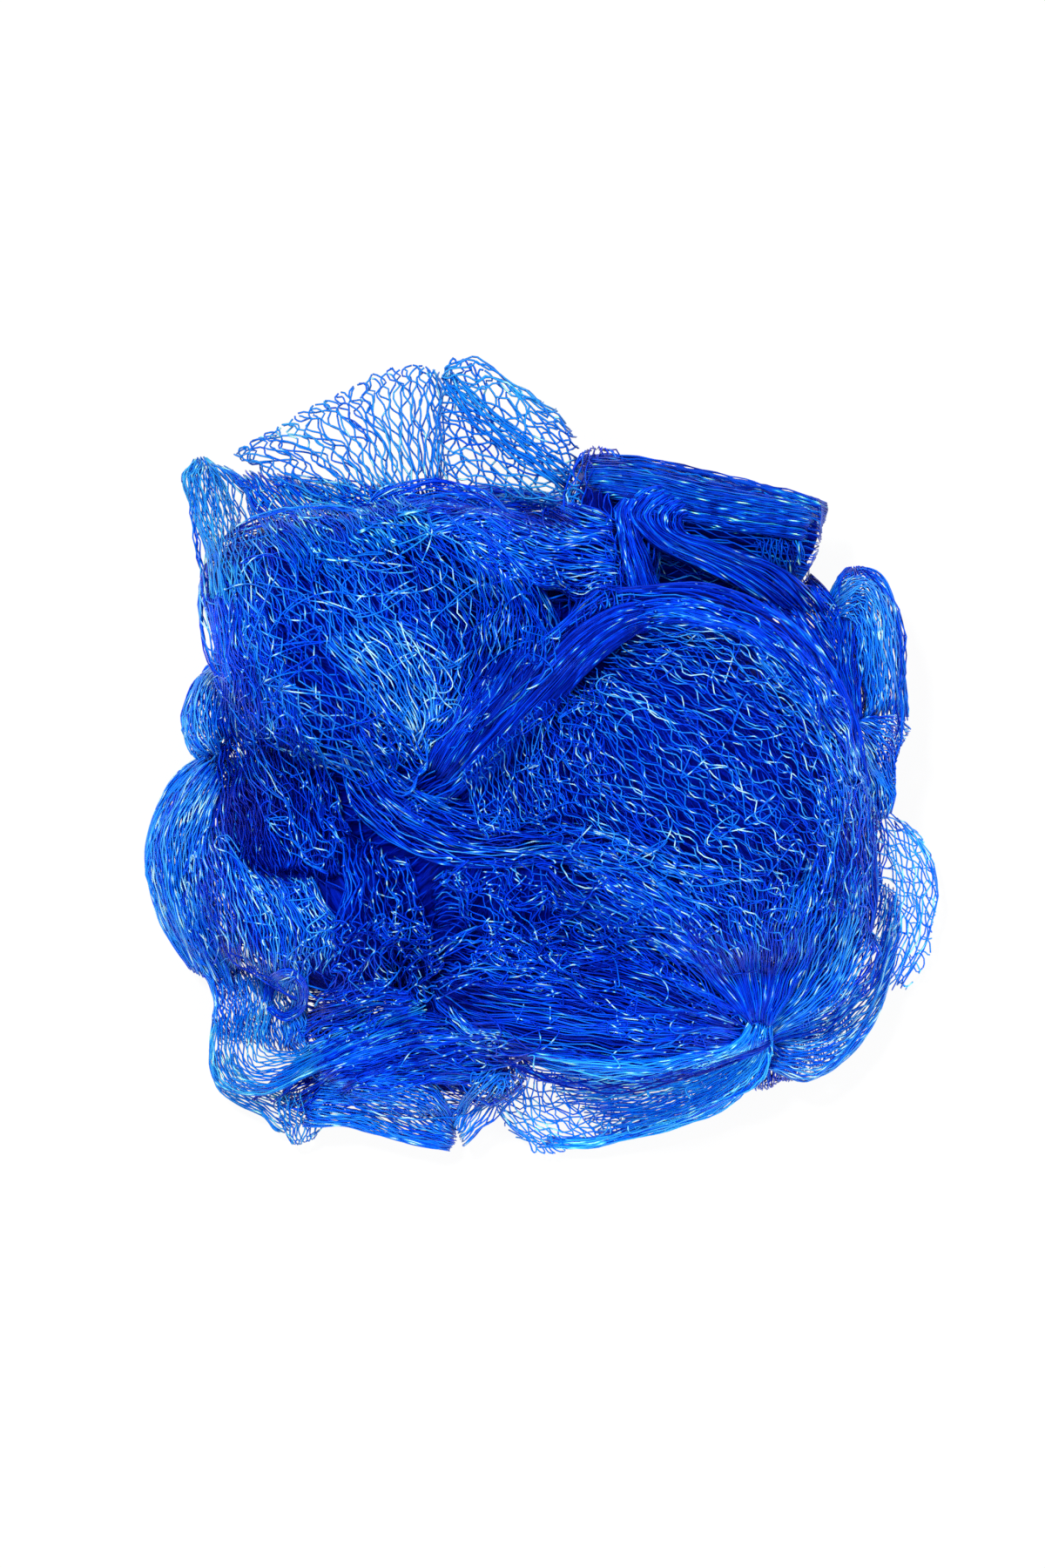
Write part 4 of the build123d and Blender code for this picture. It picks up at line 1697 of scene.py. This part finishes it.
LOWER_BAND = (
    ((385, 865), (405, 925), (445, 968), (510, 992), (580, 996), (640, 990), (700, 1006), (750, 1050)),
    ((400, 860), (428, 912), (472, 950), (530, 974), (590, 978), (650, 975), (712, 990), (775, 1030)),
    ((420, 868), (448, 905), (492, 934), (545, 954), (600, 958), (658, 960), (722, 975), (800, 1012)),
    ((442, 882), (474, 900), (520, 915), (565, 928), (612, 938), (668, 946), (735, 962), (820, 998)),
)
LOWER_FAN = (
    ((690, 958), (790, 985), (880, 1005), (940, 1040)),
    ((694, 968), (780, 1010), (860, 1050), (905, 1110)),
    ((690, 980), (765, 1030), (830, 1085), (878, 1165)),
    ((682, 992), (738, 1045), (800, 1105), (868, 1178)),
)
RIGHT_SHOULDER = (
    ((868, 682), (902, 722), (930, 770), (955, 822)),
    ((895, 690), (935, 735), (962, 790), (984, 838)),
    ((918, 670), (950, 720), (972, 780), (988, 836)),
    ((935, 655), (968, 705), (985, 770), (992, 832)),
)
RIGHT_FLANK = (
    ((935, 890), (940, 960), (925, 1040)),
    ((965, 890), (970, 970), (958, 1055)),
    ((1005, 890), (1003, 975), (992, 1065)),
)
GATHER_BELOW = (
    ((866, 1186), (842, 1225), (822, 1262)),
    ((870, 1188), (860, 1228), (850, 1258)),
    ((874, 1190), (886, 1225), (884, 1248)),
    ((878, 1192), (910, 1215), (915, 1240)),
)
LOWER_LEFT_BRIDGE = (
    ((222, 1100), (242, 1150), (250, 1200)),
    ((275, 1105), (283, 1155), (290, 1205)),
    ((315, 1110), (322, 1160), (325, 1212)),
    ((352, 1105), (352, 1160), (350, 1215)),
)
RING_HOLE = (
    ((303, 1150), (308, 1122), (332, 1112), (352, 1130), (350, 1158), (326, 1172), (306, 1158)),
    ((312, 1148), (316, 1128), (332, 1121), (344, 1133), (342, 1153), (326, 1162), (313, 1153)),
)
HOLLOW_FILL = (
    ((250, 855), (252, 930), (255, 1000)),
    ((285, 850), (292, 925), (300, 1000)),
    ((330, 850), (340, 930), (350, 1010)),
    ((385, 880), (385, 940), (390, 1010)),
)
RIGHT_EAR_LOOP = (
    ((950, 690), (965, 662), (992, 651), (1020, 668), (1035, 720), (1041, 780), (1046, 830)),
    ((952, 695), (972, 675), (995, 668), (1013, 690), (1022, 735), (1028, 785), (1030, 825)),
    ((953, 702), (975, 690), (992, 692), (1003, 720), (1008, 760), (1012, 800), (1010, 825)),
    ((955, 712), (970, 710), (983, 720), (990, 750), (993, 785), (996, 810), (990, 825)),
)
RIGHT_EAR_TUBE = (
    ((950, 705), (958, 765), (972, 828)),
    ((970, 708), (973, 765), (980, 828)),
    ((992, 712), (990, 765), (988, 826)),
)
RIGHT_GATHER = (
    ((985, 824), (1010, 820), (1035, 826), (1047, 836)),
    ((984, 830), (1010, 842), (1026, 858), (1028, 872)),
    ((982, 836), (1004, 868), (1020, 900), (1028, 932)),
    ((980, 840), (996, 880), (1006, 915), (1010, 945)),
    ((978, 845), (984, 890), (986, 925), (985, 960)),
)
SKIRT_RIGHT_ACROSS = (
    ((1000, 930), (1030, 938), (1054, 956)),
    ((995, 955), (1035, 966), (1073, 988)),
    ((995, 985), (1040, 1000), (1078, 1030)),
    ((1000, 1015), (1040, 1036), (1071, 1064)),
    ((1002, 1045), (1036, 1070), (1064, 1098)),
    ((995, 1080), (1024, 1110), (1040, 1138)),
)
SKIRT_RIGHT_DOWN = (
    ((1048, 955), (1077, 1000), (1072, 1065), (1034, 1140)),
    ((1030, 940), (1052, 1000), (1048, 1060), (1016, 1140)),
    ((1005, 940), (1025, 1000), (1022, 1060), (995, 1145)),
)
FAN_OUT = (
    ((360, 575), (310, 545), (268, 522)),
    ((400, 575), (355, 535), (304, 498)),
    ((430, 575), (395, 520), (345, 474)),
    ((455, 570), (425, 505), (390, 451)),
    ((475, 570), (455, 500), (435, 431)),
    ((495, 570), (485, 495), (478, 421)),
    ((510, 570), (507, 490), (504, 425)),
)
HOOD_ACROSS = (
    ((508, 424), (545, 410), (590, 440), (622, 456)),
    ((506, 445), (560, 440), (610, 462), (655, 490)),
    ((505, 470), (560, 485), (620, 510), (664, 520)),
    ((505, 500), (560, 520), (620, 545), (668, 552)),
    ((508, 540), (560, 555), (620, 575), (672, 580)),
)
HOOD_DOWN = (
    ((505, 565), (500, 490), (507, 430)),
    ((540, 570), (528, 490), (525, 411)),
    ((580, 575), (570, 510), (560, 426)),
    ((620, 585), (612, 520), (602, 446)),
    ((662, 590), (656, 540), (656, 494)),
)
HOOD_BAND = (
    ((503, 430), (535, 480), (585, 522), (650, 565)),
    ((520, 425), (560, 465), (612, 506), (664, 545)),
)

# The wad's folds. Each has layers round its own surface, then the nets laid over it. Their tones are painted
# light and shade: low in the hollows, high where the net is thin and lit.
LOBES = (
    NetPiece("front_right_lobe", "net_fold", (
        Net(FoldSurface((-0.025, 0.115, 0.60), (0.40, -0.235, 0.42), 0.205, 0.40,
                        (0.30, 0.66, 0.90, 1.0, 0.98, 0.84, 0.56, 0.22), 14, rise_bow_share=0.08,
                        pleat_share=0.05, twist=0.05, crumple=Crumple(11, 0.05)),
            shell(80, 12, 1, 100)),
        laid(RIGHT_LOBE_TOP, 30, 8, 0.56, painted_glint_share=0.2, lift=0.003, wobble=6, strays=20, open_share=0.36,
             steps=4),
        laid(RIGHT_LOBE_CROSSING, 28, 8, 0.5, painted_glint_share=0.16, lift=0.0024, wobble=8, strays=30, open_share=0.36,
             steps=3),
        laid(RIGHT_LOBE_TOP, 42, 9, 0.3, painted_glint_share=0.1, count=2, lift=0.0016, wobble=9, open_share=0.3),
        laid(RIGHT_LOBE_UPRIGHT, 40, 6, 0.42, painted_glint_share=0.16, lift=0.003, wobble=7, strays=40),
        laid(RIGHT_LOBE_EDGE, 28, 6, 0.46, painted_glint_share=0.18, lift=0.0032, open_share=0.42, wobble=8, strays=30),
        laid(RIGHT_FLANK, 32, 6, 0.4, (26, 24, 26, 18), lift=0.0016, count=2, painted_glint_share=0.14, wobble=9,
             open_share=0.44, strays=40),
    ), lining_inset=0.004, radius=0.00013),
    NetPiece("front_left_lobe", "net_fold", (
        Net(FoldSurface((-0.405, 0.245, 0.46), (-0.005, -0.01, 0.66), 0.155, 0.34,
                        (0.34, 0.72, 0.95, 1.0, 0.92, 0.66, 0.34, 0.18), 12, rise_bow_share=0.12,
                        pleat_share=0.06, twist=-0.04, crumple=Crumple(12, 0.05)),
            shell(60, 10, 1, 200, 0.5)),
        laid(LEFT_LOBE_TOP, 50, 9, 0.62, painted_glint_share=0.1, lift=0.0024, wobble=7, open_share=0.44, strays=110),
        laid(LEFT_LOBE_TOP, 56, 8, 0.52, painted_glint_share=0.1, count=2, lift=0.0012, wobble=10),
        laid(LEFT_LOBE_GLEAM, 22, 4, 0.72, painted_glint_share=0.24, lift=0.003, wobble=5, open_share=0.34),
        laid(LEFT_LOBE_COMB, 30, 3, 0.5, painted_glint_share=0.1, lift=0.003, open_share=0.4),
        laid(SWEEP_DOWN, 46, 4, 0.1, painted_glint_share=0.06, lift=0.003, open_share=0.25, count=2),
        laid(LEFT_LOBE_LOOPS, 18, 3, 0.5, painted_glint_share=0.12, lift=0.0034, edge=EdgeKind.LOOPED),
    ), lining_inset=0.0035),
    NetPiece("bottom_lobe", "net_fold", (
        Net(FoldSurface((-0.135, -0.265, 0.42), (0.29, -0.355, 0.36), 0.115, 0.33,
                        (0.55, 0.85, 1.0, 0.92, 0.6, 0.22), 11, rise_bow_share=0.10,
                        crumple=Crumple(13, 0.03)),
            shell(80, 9, 1, 300)),
        laid(BOTTOM_LOBE_TOP, 60, 8, 0.3, lift=0.0008, count=2, strays=110, wobble=8),
        laid(BOTTOM_LOBE_UPPER, 40, 7, 0.38, lift=0.001, strays=90, wobble=9),
        laid(GATHER_FROM_ABOVE, 84, 6, 0.34, (56, 35, 48, 30), lift=0.0012, count=2, bury=0.001),
        laid(GATHER_BELOW, 44, 4, 0.45, (24, 8, 22, 8), count=2, bury=0.001),
    ), lining_inset=0.002),
    NetPiece("lower_left_lobe", "net_fold", (
        Net(FoldSurface((-0.375, -0.03, 0.38), (-0.20, -0.31, 0.30), 0.13, 0.34,
                        (0.45, 0.85, 1.0, 0.95, 0.72, 0.4), 11, rise_bow_share=0.12,
                        crumple=Crumple(14, 0.07)),
            shell(56, 8, 1, 400)),
        laid(LOWER_LEFT_FRONT, 56, 6, 0.62, painted_glint_share=0.15, lift=0.0024, count=2, dim=0.2, ragged=0.2, strays=40),
        laid(LEFT_HOLLOW, 16, 5, 0.35, painted_glint_share=0.08, lift=0.003, wobble=9, strays=40),
        laid(HOLLOW_FILL, 46, 6, 0.06, (20, 22, 26, 26), lift=0.0012, count=2, wobble=8),
        laid(LOWER_LEFT_BRIDGE, 50, 5, 0.8, (14, 12, 18, 16), count=2, dim=0.12, spread=0.12, ragged=0.15),
        laid(RING_HOLE, 12, 8, 0.5, (20, 20, 17, 17), lift=0.002, bury=0.0, ragged=0.0, wobble=1),
        laid(FRINGE_LEFT, 22, 3, 0.32, painted_glint_share=0.12, lift=0.0016, edge=EdgeKind.LOOPED, strays=16),
    ), lining_inset=0.0035),
    NetPiece("upper_fold", "net_fold", (
        Net(FoldSurface((0.055, 0.3245, 0.50), (0.342, 0.263, 0.44), 0.059, 0.20,
                        (0.85, 0.97, 1.0, 1.0, 0.98, 0.92), 9, crumple=Crumple(15, 0.02)),
            shell(80, 7, 1, 500)),
        laid(UPPER_FOLD_MAIN, 60, 9, 0.32, (30, 30, 36, 36), lift=0.001, count=2, wobble=2, bury=0.008,
             ragged=0.0),
        laid(NECK_TUFT, 20, 3, 0.4, lift=0.001),
    ), lining_inset=0.0025, finish=DENSE_FILAMENT),
    NetPiece("top_centre_fold", "net_fold", (
        Net(FoldSurface((-0.28, 0.265, 0.48), (0.085, 0.215, 0.60), 0.070, 0.26,
                        (0.5, 0.85, 1.0, 0.95, 0.75, 0.4), 8, rise_bow_share=0.06, crumple=Crumple(16, 0.08)),
            shell(44, 9, 1, 600)),
        laid(TOP_CENTRE_LEVEL, 52, 8, 0.3, (34, 30, 34, 34), painted_glint_share=0.18, lift=0.0022, count=2, strays=70,
             wobble=8),
        laid(TOP_CENTRE_ARCS, 30, 6, 0.45, (38, 38, 38, 38), lift=0.0014, ragged=0.2, strays=30),
    ), lining_inset=0.0035),
    NetPiece("neck_fold", "net_fold", (
        Net(FoldSurface((0.07, 0.37, 0.42), (0.095, 0.17, 0.62), 0.065, 0.22,
                        (0.4, 0.8, 1.0, 0.9, 0.6), 8, crumple=Crumple(17, 0.06)),
            shell(50, 5, 1, 700)),
        laid(NECK_SWEEP, 50, 8, 0.2, (44, 34, 44, 34), painted_glint_share=0.08, lift=0.0014, count=2, wobble=3,
             open_share=0.3),
        laid(NECK_DOWN, 30, 5, 0.2, (44, 26, 44, 26), lift=0.001, wobble=2, open_share=0.3),
        laid(LOBE_VALLEY, 24, 3, 0.2, (30, 30, 30, 30), lift=0.001),
        laid(RIGHT_SHOULDER, 44, 5, 0.3, (33, 33, 27, 28), lift=0.001, count=2, strays=20),
    ), lining_inset=0.003),
    NetPiece("right_ear", "net_fold", (
        Net(FoldSurface((0.395, 0.235, 0.36), (0.425, -0.07, 0.30), 0.052, 0.20,
                        (0.35, 0.9, 1.0, 0.85, 0.8, 0.5, 0.42), 7, side_bow_share=0.005,
                        crumple=Crumple(18, 0.05)),
            shell(34, 7, 1, 800, 0.4)),
        laid(RIGHT_EAR_LOOP, 26, 9, 0.85, (26, 22, 30, 28), count=2, wobble=3, dim=0.1, spread=0.12),
        laid(RIGHT_EAR_TUBE, 20, 4, 0.4, (30, 30, 30, 30), lift=0.002),
        laid(RIGHT_GATHER, 36, 4, 0.68, (28, 24, 28, 24), lift=0.0016, count=2, dim=0.15, painted_glint_share=0.12,
             spread=0.14),
    ), lining_inset=0.0045),
    NetPiece("right_side_fold", "net_fold", (
        Net(FoldSurface((0.375, 0.03, 0.26), (0.335, -0.31, 0.22), 0.070, 0.24,
                        (0.4, 0.8, 1.0, 0.95, 0.7, 0.35), 9, side_bow_share=0.01, crumple=Crumple(19, 0.08)),
            shell(44, 8, 2, 900, 0.45)),
    ), lining_inset=0.0035),
    NetPiece("bottom_right_fold", "net_fold", (
        Net(FoldSurface((0.265, -0.362, 0.30), (0.40, -0.21, 0.34), 0.07, 0.22,
                        (0.3, 0.65, 0.95, 1.0, 0.7), 9, crumple=Crumple(20, 0.07)),
            shell(44, 5, 1, 1000, 0.5)),
        laid(RIGHT_FAN, 62, 7, 0.75, (24, 18, 20, 12), count=2, dim=0.2, spread=0.16, painted_glint_share=0.14),
        laid(CORNER_LATTICE, 22, 3, 0.8, (14, 10, 14, 10), spread=0.1),
    ), lining_inset=0.004),
    NetPiece("left_side_fold", "net_fold", (
        Net(FoldSurface((-0.38, 0.20, 0.34), (-0.318, -0.02, 0.34), 0.058, 0.26,
                        (0.45, 0.85, 1.0, 0.9, 0.6), 8, crumple=Crumple(21, 0.04)),
            shell(40, 6, 1, 1100, 0.35)),
        laid(LEFT_SIDE, 40, 6, 0.5, (22, 22, 22, 22), count=2, strays=50, dim=0.15, spread=0.14),
    ), lining_inset=0.0035),
    NetPiece("left_ear", "net_fold", (
        Net(FoldSurface((-0.43, 0.372, 0.34), (-0.382, 0.17, 0.40), 0.032, 0.11,
                        (0.45, 0.8, 1.0, 1.0, 0.8), 6, crumple=Crumple(22, 0.05)),
            shell(22, 5, 1, 1200, 0.7)),
        laid(EAR_TUBE, 22, 6, 0.9, (26, 20, 30, 30), wobble=4, spread=0.1, open_share=0.44),
        laid(EAR_TUBE, 19, 5, 0.85, (18, 16, 22, 24), wobble=4, spread=0.1, open_share=0.44),
    ), finish=SINGLE_FILAMENT),
    NetPiece("left_bulge", "net_fold", (
        Net(FoldSurface((-0.41, 0.115, 0.26), (-0.425, -0.01, 0.22), 0.04, 0.15,
                        (0.35, 0.72, 0.98, 0.9, 0.5), 6, crumple=Crumple(23, 0.05)),
            shell(26, 4, 2, 1300, 0.8)),
        laid(BULGE_SIDE, 20, 4, 0.85, (14, 14, 20, 20), count=2, wobble=2),
    )),
    NetPiece("left_roll", "net_fold", (
        Net(FoldSurface((-0.40, -0.005, 0.22), (-0.41, -0.275, 0.19), 0.065, 0.20,
                        (0.45, 0.85, 1.0, 1.0, 0.8, 0.4), 9, side_bow_share=-0.035,
                        crumple=Crumple(24, 0.06)),
            shell(50, 7, 2, 1400, 0.8)),
        laid(LEFT_ROLL_SIDE, 38, 8, 0.8, (12, 12, 20, 20), count=2, wobble=3, dim=0.15, spread=0.14,
             painted_glint_share=0.12),
    ), lining_inset=0.006),
    NetPiece("bottom_left_fold", "net_fold", (
        Net(FoldSurface((-0.32, -0.325, 0.21), (-0.085, -0.435, 0.17), 0.08, 0.21,
                        (0.4, 0.8, 1.0, 0.95, 0.75, 0.4), 9, crumple=Crumple(25, 0.08)),
            shell(48, 6, 1, 1500, 0.6)),
        laid(BOTTOM_ROLL, 40, 7, 0.72, (18, 12, 12, 10), count=2, wobble=3, dim=0.12, spread=0.14),
        laid(ROLL_TIP, 24, 3, 0.8, (10, 14, 12, 16), spread=0.1),
    ), lining_inset=0.005),
    NetPiece("bottom_centre_fold", "net_fold", (
        Net(FoldSurface((-0.19, -0.22, 0.34), (-0.045, -0.43, 0.22), 0.07, 0.24,
                        (0.5, 0.85, 1.0, 0.9, 0.55), 9, crumple=Crumple(26, 0.08)),
            shell(48, 6, 1, 1600)),
        laid(LOWER_SWEEP, 46, 8, 0.24, (14, 22, 12, 18), painted_glint_share=0.08, count=2, dim=0.15, ragged=0.2),
        laid(LOWER_AZURE, 50, 8, 0.4, (10, 22, 10, 20), painted_glint_share=0.08, count=2, dim=0.15, wobble=8, ragged=0.3,
             strays=50),
        laid(COMB_CENTRE, 24, 4, 0.55, (24, 27, 22, 25), painted_glint_share=0.2, lift=0.001, ragged=0.3, wobble=7),
        laid(LOWER_CENTRE_BAND, 34, 5, 0.3, (24, 20, 22, 18), lift=0.002, strays=40),
        laid(LOWER_PITS, 26, 5, 0.28, (26, 26, 32, 26), lift=0.002, painted_glint_share=0.14, wobble=12, open_share=0.44,
             strays=80, ragged=0.2),
    ), lining_inset=0.0035),
    NetPiece("back_fold", "net_fold", (
        Net(FoldSurface((-0.34, 0.24, 0.22), (0.33, 0.235, 0.22), 0.10, 0.24,
                        (0.3, 0.7, 0.95, 1.0, 1.0, 0.9, 0.5), 12, crumple=Crumple(27, 0.08)),
            shell(50, 14, 2, 1700, 0.75) + (Strays(90, 0.35, 1750, reach=0.14, lift=0.001),)),
    ), lining_inset=0.0035),
    NetPiece("base_fold", "net_fold", (
        Net(FoldSurface((-0.02, -0.03, -0.008), (-0.02, -0.03, 0.26), 0.385, 0.70,
                        (0.88, 1.0, 0.96, 0.80), 26, crumple=Crumple(28, 0.02)),
            shell(150, 4, 2, 1800) + (Strays(160, 0.3, 1850, lift=0.001, painted_glint_share=0.08),)),
    ), lining_inset=0.002),
    NetPiece("heart_roll", "net_fold", (
        Net(FoldSurface((-0.02, -0.01, 0.262), (-0.02, -0.01, 0.74), 0.31, 0.58,
                        (0.92, 1.0, 0.90, 0.62), 22, crumple=Crumple(29, 0.03)),
            shell(150, 5, 1, 1900, 0.0)),
        laid(RECESS_LADDER, 16, 2, 0.34, painted_glint_share=0.08, lift=0.001, wobble=2, strays=8),
        laid(RECESS_MESS, 32, 5, 0.32, lift=0.003, painted_glint_share=0.16, wobble=14, open_share=0.44, strays=90,
             ragged=0.25),
        laid(RECESS_TURNED, 24, 5, 0.3, lift=0.003, painted_glint_share=0.16, wobble=14, open_share=0.44, strays=70,
             ragged=0.25),
    ), lining_inset=0.002),
)

# Net drawn tight between the folds.
ROPES = (
    NetPiece("crossing_bundle", "net_bundle", (
        Net(RopeSurface(((-0.16, -0.06, 0.74), (-0.08, 0.01, 0.84), (0.0, 0.09, 0.88), (0.087, 0.175, 0.84)),
                        0.0040, 0.0045, (0.7, 0.9, 1.0, 0.85)),
            shell(50, 8, 1, 2000, 0.2)),
        laid(CROSSING_BAND, 56, 9, 0.06, (46, 52, 46, 52), painted_glint_share=0.06, lift=0.001, bulge=0.003, wobble=2,
             count=2, open_share=0.25),
    ), lining_inset=0.0014),
    NetPiece("lobe_rim", "net_bundle", (
        Net(RopeSurface(((0.087, 0.175, 0.83), (0.20, 0.175, 0.79), (0.30, 0.13, 0.72), (0.36, 0.05, 0.64),
                         (0.385, -0.04, 0.54)),
                        0.0034, 0.0040, (0.9, 1.0, 0.9, 0.8)),
            shell(44, 9, 1, 2100, 0.2)),
        laid(RIM_BAND, 40, 11, 0.3, (53, 36, 53, 38), painted_glint_share=0.16, lift=0.001, bulge=0.002, wobble=5,
             count=2, open_share=0.42, strays=40),
    ), lining_inset=0.0012),
    NetPiece("lower_rim_bundle", "net_bundle", (
        Net(RopeSurface(((-0.21, -0.07, 0.62), (-0.07, -0.11, 0.66), (0.10, -0.14, 0.66),
                         (0.25, -0.165, 0.60)),
                        0.0036, 0.0050, (0.7, 1.0, 1.0, 0.6)),
            shell(44, 7, 1, 2200, 0.2)),
        laid(LOWER_BAND, 30, 8, 0.34, (38, 40, 44, 42), painted_glint_share=0.16, lift=0.0016, wobble=9, count=2,
             open_share=0.44, strays=45),
        laid(LOWER_FAN, 26, 6, 0.45, painted_glint_share=0.2, lift=0.0016, wobble=10, open_share=0.44, strays=45,
             ragged=0.2),
    ), lining_inset=0.0012),
)

# Single layers of net that stand out at the edge.
FLAPS = (
    NetPiece("top_fan", "net_single_layer", (
        laid(FAN_OUT, 32, 3, 0.82, (38, 30, 38, 34), painted_glint_share=0.02, wobble=3, edge=EdgeKind.LOOPED, spread=0.08),
        laid(FAN_OUT, 25, 4, 0.82, (36, 27, 36, 31), painted_glint_share=0.02, wobble=8, edge=EdgeKind.LOOPED, spread=0.08),
        laid(UPPER_LEFT_SLOPE, 50, 5, 0.6, (28, 42, 36, 42), lift=0.0035, count=2, strays=40, dim=0.15,
             spread=0.2, ragged=0.2, painted_glint_share=0.08),
    ), radius=0.00018, finish=SINGLE_FILAMENT),
    NetPiece("top_hood", "net_single_layer", (
        laid(HOOD_ACROSS, 20, 5, 0.82, (38, 30, 40, 36), painted_glint_share=0.03, wobble=6, spread=0.08),
        laid(HOOD_DOWN, 20, 4, 0.8, (36, 34, 36, 34), painted_glint_share=0.03, wobble=6, edge=EdgeKind.LOOPED,
             spread=0.08),
        laid(HOOD_BAND, 16, 5, 0.8, (38, 38, 38, 38), painted_glint_share=0.02, wobble=6, spread=0.08),
    ), radius=0.0002, finish=SINGLE_FILAMENT),
    NetPiece("lower_left_flap", "net_single_layer", (
        laid(CORNER_FLAP, 28, 9, 0.85, (12, 24, 16, 26), painted_glint_share=0.05, wobble=4, spread=0.1, bury=0.001),
        laid(CORNER_RIM, 20, 5, 0.85, (10, 6, 12, 10), painted_glint_share=0.05, wobble=3, spread=0.1, bury=0.001),
        laid(CORNER_CROSS, 16, 3, 0.85, (14, 6, 14, 6), painted_glint_share=0.05, wobble=2, edge=EdgeKind.LOOPED,
             spread=0.1),
    ), finish=SINGLE_FILAMENT),
    NetPiece("bottom_skirt", "net_single_layer", (
        laid(SKIRT_LONG, 50, 9, 0.85, (32, 18, 26, 6), painted_glint_share=0.08, wobble=5, count=2, dim=0.1, spread=0.12,
             ragged=0.15, strays=30),
        laid(SKIRT_RIM, 18, 8, 0.9, (16, 6, 12, 5), painted_glint_share=0.05, wobble=3, spread=0.1),
        laid(SKIRT_LEVEL, 11, 6, 0.8, (10, 12, 5, 8), painted_glint_share=0.04, wobble=6, spread=0.08),
        laid(SKIRT_CROSS, 24, 3, 0.8, (14, 5, 12, 6), painted_glint_share=0.04, wobble=6, edge=EdgeKind.LOOPED,
             spread=0.08),
    ), finish=LOW_FILAMENT_PAINTED_LIGHT),
    NetPiece("right_skirt", "net_single_layer", (
        laid(SKIRT_RIGHT_ACROSS, 24, 2, 0.85, (16, 8, 14, 6), painted_glint_share=0.05, wobble=4, edge=EdgeKind.LOOPED,
             spread=0.1),
        laid(SKIRT_RIGHT_DOWN, 15, 6, 0.8, (10, 8, 16, 14), painted_glint_share=0.05, wobble=5, spread=0.1),
    ), finish=LOW_FILAMENT_PAINTED_LIGHT),
)


def main() -> None:
    """Builds the studio, then every piece of the wad."""
    logging.basicConfig(level=logging.INFO, format="%(relativeCreated)d %(name)s %(message)s")
    STUDIO.camera()
    STUDIO.floor()
    STUDIO.light()
    packed = LOBES + ROPES
    TERRAIN.survey([piece.nets[0].surface for piece in packed])
    for piece in packed + FLAPS:
        piece.build()


if __name__ == "__main__":
    main()
